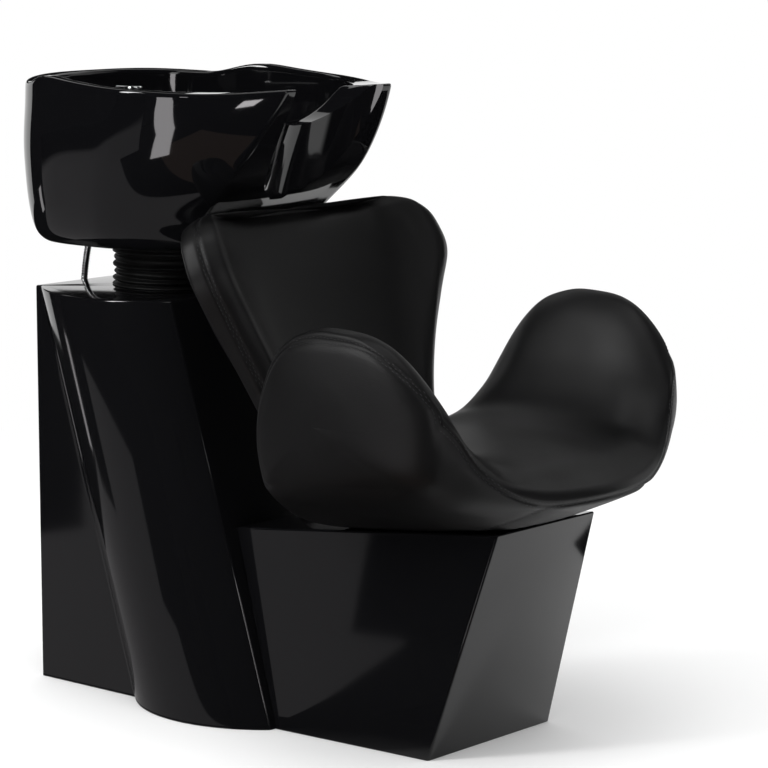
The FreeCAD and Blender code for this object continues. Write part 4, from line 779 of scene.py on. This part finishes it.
# Column: a bowed shell with a roof, open below, with the hatch, the waste hole and the fixings cut through.
COLUMN_TOP, COLUMN_DEPTH, LEAN, CHORD, WALL = 620, 298, 195, 286, 6
SLOPE = LEAN / COLUMN_TOP
COLUMN_REAR, COLUMN_BOW, COLUMN_FRONT = 160, 220, 165
SHELL_BOLTS, BOLT_HOLE = [(-100, 70), (100, 70), (-100, 215), (100, 215)], 4.3


def column_front(height):
    return COLUMN_DEPTH + SLOPE * (COLUMN_TOP - height)


def bowed(a, middle, b, count):
    """Points of the flat arc from a through middle to b."""
    (ax, ay), (mx, my), (bx, by) = a, middle, b
    d = 2 * (ax * (my - by) + mx * (by - ay) + bx * (ay - my))
    qa, qm, qb = ax * ax + ay * ay, mx * mx + my * my, bx * bx + by * by
    cx = (qa * (my - by) + qm * (by - ay) + qb * (ay - my)) / d
    cy = (qa * (bx - mx) + qm * (ax - bx) + qb * (mx - ax)) / d
    radius = math.hypot(ax - cx, ay - cy)
    first, last = math.atan2(ay - cy, ax - cx), math.atan2(by - cy, bx - cx)
    sweep = (last - first + math.pi) % (2 * math.pi) - math.pi
    return [(cx + radius * math.cos(first + sweep * i / count), cy + radius * math.sin(first + sweep * i / count))
            for i in range(count + 1)]


def choose(piece, test, faces=False):
    """Edit mode with only the points or faces that pass the test selected."""
    pick(piece)
    bpy.ops.object.mode_set(mode="EDIT")
    bpy.ops.mesh.select_mode(type="FACE" if faces else "VERT")
    bpy.ops.mesh.select_all(action="DESELECT")
    bpy.ops.object.mode_set(mode="OBJECT")
    for part in (piece.data.polygons if faces else piece.data.vertices):
        part.select = test(part)
    bpy.ops.object.mode_set(mode="EDIT")


def drill(name, radius, start, ahead, length):
    deselect()
    bpy.ops.mesh.primitive_cylinder_add(vertices=24, radius=radius / 1000, depth=length / 1000,
                                        location=start + ahead * (length / 2000),
                                        rotation=ahead.to_track_quat("Z", "Y").to_euler())
    bpy.context.object.name = name
    return settle(bpy.context.object)


def joint_drills(name):
    """The four bolt holes between column and plinth, square to the leaning face."""
    lean = math.atan(SLOPE)
    up = Vector((0, math.sin(lean), math.cos(lean)))
    ahead = Vector((0, -math.cos(lean), math.sin(lean)))
    foot = spot(0, column_front(0), 0)
    starts = [foot + Vector((x / 1000, 0, 0)) + up * (high / 1000) - ahead * 0.02 for x, high in SHELL_BOLTS]
    return [drill("%s_%d" % (name, i), BOLT_HOLE, start, ahead, 40) for i, start in enumerate(starts)]


def column():
    rows = []
    for height in (0, COLUMN_TOP):
        front = column_front(height)
        half = [(COLUMN_REAR, 0)]
        half += bowed((COLUMN_REAR, front - CHORD), (COLUMN_BOW, front - CHORD / 2), (COLUMN_FRONT, front), 28)
        rows.append([spot(x, s, height) for x, s in half + [(-x, s) for x, s in reversed(half)]])
    piece = laid("column_skin", rows, True)
    choose(piece, lambda v: v.co.z > (COLUMN_TOP - 1) / 1000)
    bpy.ops.mesh.edge_face_add()
    bpy.ops.object.mode_set(mode="OBJECT")
    facing_out(piece)
    softened(piece, 3.2, 4)
    applied(piece, "SOLIDIFY", thickness=WALL / 1000, offset=-1, use_even_offset=True)
    tools = [slab("hatch_window", -104, 104, -10, 16, 90, 458), slab("hatch_rebate", -118, 118, -10, 3, 76, 472),
             rod("waste_hole", 31, 600, 640, 0, WASTE)]
    turns = [math.radians(a) for a in (0, 180, 62, 118)]
    tools += [rod("plate_hole_%d" % i, 3.3, 600, 640, 62 * math.cos(a), TILT - 62 * math.sin(a), 20)
              for i, a in enumerate(turns)]
    tools += [drill("screw_hole_%d_%d" % (side, high), 2.3, spot(side * 111, -10, high), Vector((0, -1, 0)), 30)
              for side in (-1, 1) for high in (83, 274, 465)]
    carved(piece, tools + joint_drills("column_bolt"))
    finish_piece(smooth_shaded(piece, 28), "base", GEL_COAT, "gloss_black", "column_shell")


# Plinth: flat faces narrowing to the front and top, open below, with holes for the backrest's foot and the seat.
PLINTH_REAR, PLINTH_TOE, PLINTH_NOSE, PLINTH_LOW, PLINTH_HIGH = 493, 774, 876, 289, 336
PLINTH_JOIN = column_front(PLINTH_LOW)
PLINTH_HALVES = (155, 141, 113)
PLINTH_CORNERS = {(1, -1): (PLINTH_REAR, 0), (-1, -1): (PLINTH_TOE, 0), (-1, 1): (PLINTH_NOSE, PLINTH_HIGH),
                  (1, 1): (PLINTH_JOIN, PLINTH_LOW)}
BACK_FOOT, BACK_LOW, BACK_LEAN = 529, 308, math.radians(24.7)


def plinth_top(forward):
    return PLINTH_LOW + (PLINTH_HIGH - PLINTH_LOW) * (forward - PLINTH_JOIN) / (PLINTH_NOSE - PLINTH_JOIN)


def plinth():
    rear, toe, nose = PLINTH_HALVES
    taper = (toe - rear) / (PLINTH_TOE - PLINTH_REAR)
    tuck = (nose - rear - taper * (PLINTH_NOSE - PLINTH_REAR)) / PLINTH_HIGH
    deselect()
    bpy.ops.mesh.primitive_cube_add(size=2, location=(0, 0, 0))
    piece = bpy.context.object
    piece.name = "plinth_skin"
    for point in piece.data.vertices:
        forward, high = PLINTH_CORNERS[(round(point.co.y), round(point.co.z))]
        half = rear + taper * (forward - PLINTH_REAR) + tuck * high
        point.co = spot(point.co.x * half, forward, high)
    choose(piece, lambda face: face.normal.z < -0.9, True)
    bpy.ops.mesh.delete(type="FACE")
    bpy.ops.object.mode_set(mode="OBJECT")
    facing_out(piece)
    softened(piece, 3.5, 4)
    applied(piece, "SOLIDIFY", thickness=WALL / 1000, offset=-1, use_even_offset=True)
    rise = math.atan((PLINTH_HIGH - PLINTH_LOW) / (PLINTH_NOSE - PLINTH_JOIN))
    ahead, up = Vector((0, -math.cos(rise), math.sin(rise))), Vector((0, math.sin(rise), math.cos(rise)))
    corner = spot(0, PLINTH_JOIN, PLINTH_LOW)
    foot = (BACK_FOOT + 30 * math.cos(BACK_LEAN) - PLINTH_JOIN) / math.cos(rise)
    holes = [(side * 55, run) for side in (-1, 1) for run in (335, 425)]
    holes += [(side * 42, foot + 105 * part) for side in (-1, 1) for part in (0.45, 0.8)]
    starts = [corner + Vector((x / 1000, 0, 0)) + ahead * (run / 1000) - up * 0.018 for x, run in holes]
    tools = [drill("top_hole_%d" % i, BOLT_HOLE, start, up, 54) for i, start in enumerate(starts)]
    carved(piece, tools + joint_drills("plinth_bolt"))
    finish_piece(smooth_shaded(piece, 28), "base", GEL_COAT, "gloss_black", "plinth_shell")


column()
plinth()


# Bellows round the tilt hinge, the corrugated waste hose inside the column, and the tap's lever.
def bellows():
    low, high = 620.2, 683.8
    ribs = [(101.5, 90), (99.5, 91.5), (101, 91), (98.5, 92), (101, 91)]
    outer = [(101.5, 0.0), (101.8, 0.05)]
    for i, (crest, valley) in enumerate(ribs):
        base = 0.08 + 0.84 * i / len(ribs)
        step = 0.84 / len(ribs)
        outer += [(valley + 1.5, base), (valley + 5.5, base + 0.18 * step), (crest - 1.2, base + 0.36 * step),
                  (crest, base + 0.52 * step), (crest - 1.2, base + 0.68 * step),
                  (valley + 5.5, base + 0.84 * step)]
    outer += [(93, 0.92), (99.5, 0.95), (100.5, 1.0)]
    inner = [(radius - 3, part) for radius, part in reversed(outer)]
    rows = []
    for radius, part in outer + inner + outer[:1]:
        ring = []
        for i in range(96):
            a = 2 * math.pi * i / 96
            sway = 1.3 * math.sin(2 * a + 9 * part) * math.sin(math.pi * part)
            lift = 0.9 * math.sin(3 * a + 14 * part) * math.sin(math.pi * part)
            reach = radius - 1 + 0.5 * sway
            ring.append(spot(reach * math.cos(a), TILT + reach * math.sin(a), low + (high - low) * part + lift))
        rows.append(ring)
    piece = smooth_shaded(rounded(facing_out(laid("hinge_bellows", rows, True)), 1))
    finish_piece(piece, None, RUBBER, "bellows_rubber", "bellows")
    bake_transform(piece)


def waste_hose():
    outer = []
    for i in range(235):
        outer.append((22.3 + 0.7 * math.cos(2 * math.pi * i / 4), 143 + (670 - 143) * i / 234))
    inner = [(20.7, 670), (20.7, 143)]
    piece = smooth_shaded(facing_out(turned("waste_pipe_hose", outer + inner + outer[:1], 0, WASTE, 28)), 60)
    finish_piece(piece, None, PLASTIC, "grey_plastic", "waste_hose")
    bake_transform(piece)


def tap_lever():
    rows = []
    for grow, high in [(0, 916.3), (0.80, 916.3), (0.93, 916.7), (0.985, 917.8), (1.0, 919.3), (0.985, 920.8),
                       (0.93, 921.8), (0.80, 922.1), (0, 922.1)]:
        ring = []
        for i in range(48):
            a = 2 * math.pi * i / 48
            c, s = math.cos(a), math.sin(a)
            ring.append(spot(15 * grow * math.copysign(abs(c) ** 0.8, c),
                             47.5 + 26.5 * grow * math.copysign(abs(s) ** 0.9, s), high))
        rows.append(ring)
    piece = smooth_shaded(facing_out(laid("lever_paddle", rows, True)), 50)
    finish_piece(piece, "tap_lever", CHROME, "chrome", "mixer_lever")
    stem = softened(slab("lever_stem", -6, 6, 35, 45, 902, 916.6), 1.5)
    carved(stem, [drill("pin_gap", 2.6, spot(-20, MIXER, 900.2), Vector((1, 0, 0)), 40)])
    finish_piece(smooth_shaded(stem, 40), "tap_lever", CHROME, "chrome")


bellows()
waste_hose()
tap_lever()


# Upholstery: closed pads swelled between their sewn lines, then stitched. Lengths in metres but the seam's depth.
CLOTH = {"quality": 4, "mass": 0.4, "tension_stiffness": 18, "compression_stiffness": 18, "bending_stiffness": 3,
         "use_pressure": True, "uniform_pressure_force": 4.0}
PUFF_MOST, PUFF_FRAMES, EVENING_PASSES = 0.0055, 20, 14
SEAM_DEPTH, STITCH_PITCH, STITCH_ROWS = 3.2, 0.0062, (-0.0045, 0.0045)


def finder(piece):
    """A function that gives the number of the point at a place."""
    numbers = {tuple(round(c, 5) for c in point.co): point.index for point in piece.data.vertices}
    return lambda place: numbers[tuple(round(c, 5) for c in place)]


def weighted(piece, label, indices):
    piece.vertex_groups.new(name=label).add(indices, 1.0, "REPLACE")
    return label


def weights_of(piece, label):
    found = {}
    group = piece.vertex_groups[label].index
    for point in piece.data.vertices:
        for entry in point.groups:
            if entry.group == group and entry.weight > 0.01:
                found[point.index] = entry.weight
    return found


def swelled(piece, sewn):
    """Cloth held along the sewn lines swells; its rise, evened out, is laid on the cover up to a limit."""
    before = [point.co.copy() for point in piece.data.vertices]
    pick(piece)
    cover = piece.modifiers.new("cover", "CLOTH")
    for key, value in CLOTH.items():
        setattr(cover.settings, key, value)
    cover.settings.effector_weights.gravity = 0
    cover.settings.vertex_group_mass = sewn
    cover.collision_settings.use_collision = False
    cover.point_cache.frame_start = 1
    cover.point_cache.frame_end = PUFF_FRAMES
    for moment in range(1, PUFF_FRAMES + 1):
        bpy.context.scene.frame_set(moment)
    bpy.ops.object.modifier_apply(modifier=cover.name)
    bpy.context.scene.frame_set(1)
    moved = [point.co.copy() for point in piece.data.vertices]
    for point, old in zip(piece.data.vertices, before):
        point.co = old
    piece.data.update()
    turns = [point.normal.copy() for point in piece.data.vertices]
    swell = [max(-PUFF_MOST / 4, min(PUFF_MOST, (new - old).dot(turn)))
             for new, old, turn in zip(moved, before, turns)]
    held = weights_of(piece, sewn)
    pairs = [tuple(edge.vertices) for edge in piece.data.edges]
    for _ in range(EVENING_PASSES):
        total, count = swell[:], [1] * len(swell)
        for a, b in pairs:
            total[a] += swell[b]
            total[b] += swell[a]
            count[a] += 1
            count[b] += 1
        swell = [t / n for t, n in zip(total, count)]
        for i, weight in held.items():
            swell[i] *= 1 - weight
    for point, old, turn, rise in zip(piece.data.vertices, before, turns, swell):
        point.co = old + turn * rise


def grooved(piece, sewn):
    """The sewn lines draw in along the surface's own direction."""
    held = weights_of(piece, sewn)
    turns = {i: piece.data.vertices[i].normal.copy() for i in held}
    for i, weight in held.items():
        piece.data.vertices[i].co -= turns[i] * (SEAM_DEPTH / 1000 * weight ** 1.6)


def upholstered(piece, sewn):
    rounded(piece, 2)
    swelled(piece, sewn)
    grooved(piece, sewn)
    smooth_shaded(facing_out(piece))


def seam_path(piece, group, order):
    """Points of one sewn line in order along it."""
    held = [piece.data.vertices[i].co.copy() for i, weight in weights_of(piece, group).items() if weight > 0.985]
    return sorted(held, key=order)


def stitched(name, piece, paths, body):
    """Thread laid in short stitches beside each sewn line, on the surface that it is sewn to."""
    bpy.context.view_layer.update()
    deselect()
    bpy.ops.mesh.primitive_uv_sphere_add(segments=6, ring_count=4, radius=1, location=(0, 0, 0))
    master = bpy.context.object
    master.name = name
    master.scale = (0.0021, 0.00055, 0.00045)
    settle(master)
    copies = []
    for path in paths:
        if len(path) < 3:
            continue
        stations, _ = along(path, STITCH_PITCH)
        for at, ahead in stations[1:-1]:
            _, _, normal, _ = piece.closest_point_on_mesh(at)
            side = ahead.cross(normal).normalized()
            for offset in STITCH_ROWS:
                found, place, normal, _ = piece.closest_point_on_mesh(at + side * offset)
                if not found:
                    continue
                lie = (ahead - normal * ahead.dot(normal)).normalized()
                across = normal.cross(lie)
                made = bpy.data.objects.new(name, master.data.copy())
                bpy.context.collection.objects.link(made)
                turn = Matrix((lie, across, normal)).transposed().to_4x4()
                made.matrix_world = Matrix.Translation(place + normal * 0.00015) @ turn
                copies.append(made)
    deselect()
    bpy.data.objects.remove(master)
    for made in copies:
        made.select_set(True)
    bpy.context.view_layer.objects.active = copies[0]
    bpy.ops.object.join()
    rows = bpy.context.object
    settle(rows)
    finish_piece(smooth_shaded(rows), body, THREAD, "upholstery")


# Backrest: levels up the reclined panel, each a middle arc, two wings curling forward and rounded ends.
BACK_LEVELS = [(0, 160, 48, 30), (0.09, 160, 56, 13.5), (0.19, 163.7, 55, 3.6), (0.31, 179.5, 54, 0),
               (0.50, 216, 54, 0), (0.66, 254, 57, 0), (0.79, 282, 60, 0), (0.89, 276, 59, 0), (0.96, 252, 51, 3),
               (1.0, 207, 26, 14)]
BACK_LONG, BACK_WIDEST, BACK_ARC, BACK_INSET, WING_TURN = 461, 282, 1000, 0.5, math.radians(44)


def on_back(x, forward, up):
    return spot(x, BACK_FOOT + forward * math.cos(BACK_LEAN) - up * math.sin(BACK_LEAN),
                BACK_LOW + forward * math.sin(BACK_LEAN) + up * math.cos(BACK_LEAN))


def back_ring(part, inset):
    """Half a level from the middle of the rear, round the wing's end, to the middle of the front."""
    half, thick, forward = through(BACK_LEVELS, part)
    half -= inset
    forward += inset
    thick -= 2 * inset
    inner = 0.5 * half
    start = math.asin(inner / BACK_ARC)
    finish = start + (WING_TURN - start) * half / BACK_WIDEST
    dish = BACK_ARC * (1 - math.cos(start))
    radius = (half - inner) / (2 * math.sin((finish - start) / 2) * math.cos((start + finish) / 2))

    def rear(t):
        if t <= start:
            return BACK_ARC * math.sin(t), forward + BACK_ARC * (1 - math.cos(t))
        return (inner + radius * (math.sin(t) - math.sin(start)),
                forward + dish + radius * (math.cos(start) - math.cos(t)))

    def front(t):
        x, f = rear(t)
        return x - thick * math.sin(t), f + thick * math.cos(t)

    turns = [start * k / 4 for k in range(5)]
    turns += [start + (finish - start) * k for k in (0.16, 0.32, 0.48, 0.64, 0.78)]
    edge = 6 / radius
    flank = [rear(t) for t in turns] + [rear(finish - 2.2 * edge), rear(finish - edge), rear(finish)]
    a = rear(finish)
    b = (a[0] - 0.97 * thick * math.sin(finish), a[1] + 0.97 * thick * math.cos(finish))
    swell = 8
    m = ((a[0] + b[0]) / 2 + swell * math.cos(finish), (a[1] + b[1]) / 2 + swell * math.sin(finish))
    rounding = bowed(a, m, b, 24)
    end = [rounding[k] for k in (2, 5, 9, 12, 15, 19, 22)]
    face = [front(t) for t in reversed(turns)]
    lip = [b, front(finish - edge), front(finish - 2.2 * edge)]
    return flank + end + lip + face, len(flank) + len(end) // 2


def backrest():
    parts = [0, 0.035, 0.07, 0.11, 0.15, 0.20, 0.25, 0.31, 0.37, 0.43, 0.50, 0.56, 0.61, 0.66, 0.71, 0.75, 0.79, 0.83,
             0.87, 0.90, 0.925, 0.945, 0.96, 0.975, 0.988, 0.997]
    rows = []
    for part in parts:
        half, edge_seam = back_ring(part, BACK_INSET)
        rows.append(mirrored([on_back(x, f, part * BACK_LONG) for x, f in half]))
    count = len(rows[0])
    first = sum(rows[0], Vector()) / count
    last = sum(rows[-1], Vector()) / count
    up = on_back(0, 0, 1) - on_back(0, 0, 0)
    head = [[p.lerp(first, k) - up * 4 * k for p in rows[0]] for k in (1.0, 0.75, 0.45, 0.18)]
    tail = [[p.lerp(last, k) + up * 3.5 * min(1, 2 * k) for p in rows[-1]] for k in (0.14, 0.4, 0.75, 1.0)]
    piece = laid("backrest_pad", head + rows + tail, True)
    index_of = finder(piece)
    edge_line = []
    for row in rows:
        edge_line += [index_of(row[edge_seam]), index_of(row[count - edge_seam])]
    groups = [weighted(piece, "sewn", sorted(set(edge_line))), weighted(piece, "right", edge_line[0::2]),
              weighted(piece, "left", edge_line[1::2])]
    upholstered(piece, groups[0])
    paths = [seam_path(piece, group, lambda p: p.z) for group in groups[1:]]
    stitched("backrest_stitches", piece, paths, "base")
    finish_piece(piece, "base", HIDE_BLACK, "upholstery", "backrest_cushion")
    return piece


# Seat: slices across a saddle whose sides sweep up into arms, drawn in underneath.
SEAT_REAR, SEAT_FRONT, SEAT_HIGH, SEAT_LIP, SEAT_BOW, ARM_X, ARM_RISE = 562, 985, 432, 30, 85, 282, 178
# Place across, share of the pan's lift, share of the arm's rise, underside's lift, ends' draw and front's tuck.
SEAT_SLICES = [(0.0, 0.0, 0.0, 0, 0, 0), (85.5, 0.0, 0.015, 0, 0, 0), (161.5, 0.10, 0.12, 16, 0, 0),
               (222, 0.45, 0.48, 43, 0, 0), (254.4, 0.85, 0.86, 66, 0, 0), (ARM_X, 1.0, 1.0, 86, 0, 0),
               (301.1, 1.0, 0.98, 104, 4, 14), (308.4, 0.97, 0.89, 116, 9, 30), (315, 0.9, 0.66, 136, 22, 62)]
ARM_LINE = [(0.03, 0.48), (0.10, 0.75), (0.22, 0.93), (0.42, 1.00), (0.62, 0.985), (0.76, 0.92), (0.87, 0.80),
            (0.94, 0.70), (0.97, 0.64)]
# Where the front seam lies on the rolled edge, by its place across: 0 at its foot, 1 at the top.
SEAM_HEIGHTS = [(0, 0.30), (60, 0.22), (130, 0.22), (168, 0.40), (200, 0.55), (240, 0.74), (280, 0.84), (315, 0.84)]
CROWN_STEPS = (0.03, 0.06, 0.10, 0.16, 0.22, 0.29, 0.36, 0.42, 0.48, 0.55, 0.62, 0.69, 0.76, 0.82, 0.87, 0.91, 0.94,
               0.97)


def seat_slice(x, inset):
    """One closed slice: underside from the rear, front rounding, back over the top, and rear rounding."""
    lift, share, low, shrink, tuck = through(SEAT_SLICES, abs(x))
    out = min(abs(x), ARM_X + 10) / ARM_X
    rear = SEAT_REAR + shrink + 28 * out ** 4 + inset
    front = SEAT_FRONT - shrink - tuck - SEAT_BOW * out ** 1.7 - inset
    span = front - rear
    knee, toe = rear + 0.74 * span, front - 0.02 * span
    under_inset = 0.6
    low_rear = (rear + 0.06 * span, plinth_top(rear) + 0.8 * low + under_inset)
    low_knee = (knee, plinth_top(knee) + low + under_inset)
    crown = []
    for step in CROWN_STEPS:
        high = through(ARM_LINE, step)[0]
        pan = SEAT_HIGH + 6 * math.sin(math.pi * step) - SEAT_LIP * step ** 8 + 16 * lift
        crown.append((rear + step * span, pan + ARM_RISE * share * high - 1))
    toe_high = min(plinth_top(toe) + 0.8 * low + 34, crown[-1][1] - 0.07 * span, crown[-1][1] - 14)
    toe_at = (toe, toe_high)
    under = [(low_rear[0] + (low_knee[0] - low_rear[0]) * k, low_rear[1] + (low_knee[1] - low_rear[1]) * k)
             for k in (0, 0.1, 0.28, 0.5, 0.72, 0.9, 1.0)]
    under += [(low_knee[0] + (toe_at[0] - low_knee[0]) * k,
               low_knee[1] + (toe_at[1] - low_knee[1]) * k - sag * min(1, low / 40))
              for k, sag in ((0.3, 4), (0.62, 9), (0.86, 7))]
    nose = bowed(toe_at, (front, (toe_high + crown[-1][1]) / 2), crown[-1], 96)
    heel = bowed(crown[0], (rear, (low_rear[1] + crown[0][1]) / 2), low_rear, 8)
    sewn = through(SEAM_HEIGHTS, abs(x))[0]
    rolls = [0, sewn / 2, sewn, sewn + 0.3 * (1 - sewn), sewn + 0.6 * (1 - sewn), sewn + 0.85 * (1 - sewn)]
    ring = under + [nose[round(96 * k)] for k in rolls] + list(reversed(crown)) + heel[1:-1]
    return ring, len(under) + 2


# How far a lengthwise line of the seat's cover draws in toward the middle at the front, by its place across.
SEAM_X, DROP_X, SEAT_INSET = 306.5, 120, -2.0
DRAWN_IN = [(0, 0), (190, 1), (210, 3), (226, 6), (241, 10), (255, 15), (268, 20), (280, 25), (290, 29), (297, 32),
            (301.5, 34), (SEAM_X, 35), (310, 24), (312.8, 11), (315, 0)]
DRAW_STEPS = [(0, 0.0), (0.48, 0.0), (0.62, 0.03), (0.69, 0.07), (0.76, 0.14), (0.82, 0.25), (0.87, 0.40),
              (0.91, 0.56), (0.94, 0.74), (0.97, 1.0)]


def seat(against):
    places = [0, 30, 60, 90, DROP_X, 145, 168, 190, 210, 226, 241, 255, 268, 280, 290, 297, 301.5, SEAM_X, 310, 312.8,
              315]
    seam_at, drop_at = places.index(SEAM_X), places.index(DROP_X)
    places = [-x for x in reversed(places[1:])] + places
    middle = len(places) // 2
    rings = {}

    def slice_at(x):
        if x not in rings:
            rings[x] = seat_slice(x, SEAT_INSET)
        return rings[x]

    ring, front_seam = slice_at(0)
    count = len(ring)
    draws = [0.0] * count
    for k, step in enumerate(reversed(CROWN_STEPS)):
        draws[front_seam + 4 + k] = through(DRAW_STEPS, step)[0]
    for k in range(front_seam + 4):
        draws[k] = min(1.0, max(0.0, 1 - (front_seam - k) / 11))
    rows = []
    for x in places:
        row = []
        for k in range(count):
            at = round(math.copysign(abs(x) - through(DRAWN_IN, abs(x))[0] * draws[k], x), 3)
            s, z = slice_at(at)[0][k]
            row.append(spot(at, s, z))
        rows.append(row)

    def cap(ring, side):
        centre = sum(ring, Vector()) / len(ring)
        return [[p.lerp(centre, k) + Vector((side * swell / 1000, 0, 0)) for p in ring]
                for k, swell in ((0.12, 1.2), (0.3, 2.4), (0.55, 3.4), (0.8, 3.8), (1.0, 4.0))]

    piece = laid("seat_pad", list(reversed(cap(rows[0], -1))) + rows + cap(rows[-1], 1), True)
    index_of = finder(piece)

    def lengthwise(place, places_along):
        return [index_of(rows[middle + place][k]) for k in places_along]

    crest, drop = [*range(front_seam, count), 0], range(5, front_seam + 1)
    lines = {"right": lengthwise(seam_at, crest), "left": lengthwise(-seam_at, crest),
             "front": [index_of(rows[j][front_seam]) for j in range(middle - seam_at, middle + seam_at + 1)],
             "drop_right": lengthwise(drop_at, drop), "drop_left": lengthwise(-drop_at, drop)}
    groups = [weighted(piece, "sewn", sorted(set(sum(lines.values(), []))))]
    groups += [weighted(piece, label, line) for label, line in lines.items()]
    upholstered(piece, groups[0])
    core = spot(0, 760, 480)

    def round_slice(p):
        return (math.atan2(p.z - core.z, core.y - p.y) + 1.2) % (2 * math.pi)

    orders = (round_slice, round_slice, lambda p: p.x, lambda p: p.y, lambda p: p.y)
    paths = [seam_path(piece, group, order) for group, order in zip(groups[1:], orders)]
    stitched("seat_stitches", piece, paths, "base")
    pressed(piece, against, 0.0015)
    finish_piece(smooth_shaded(piece), "base", HIDE_BLACK, "upholstery", "seat_cushion")


def pressed(piece, against, play):
    """Points that lie inside or too near the other pad are pushed out to its surface."""
    bpy.context.view_layer.update()
    low, high = [Vector(c) for c in pad_corners(against)]
    for point in piece.data.vertices:
        if all(low[k] - play < point.co[k] < high[k] + play for k in range(3)):
            found, place, normal, _ = against.closest_point_on_mesh(point.co)
            if found and (point.co - place).dot(normal) < play:
                point.co = place + normal * play


def pad_corners(piece):
    spans = list(zip(*[point.co for point in piece.data.vertices]))
    return [min(s) for s in spans], [max(s) for s in spans]


seat(backrest())

# Finishes of the frame's own nodes.
FINISHES = {
    "gloss_black": GEL_COAT, "black_glaze": GLAZE, "upholstery": HIDE_BLACK, "bellows_rubber": RUBBER,
    "chrome": CHROME, "steel": ZINC, "brass": BRASS, "grey_plastic": PLASTIC, "board": PLY,
}
for entry in frame["record"]["subparts"]:
    piece = nodes[entry["node"]]
    piece.data.materials.clear()
    piece.data.materials.append(FINISHES[entry["material_slot"]])
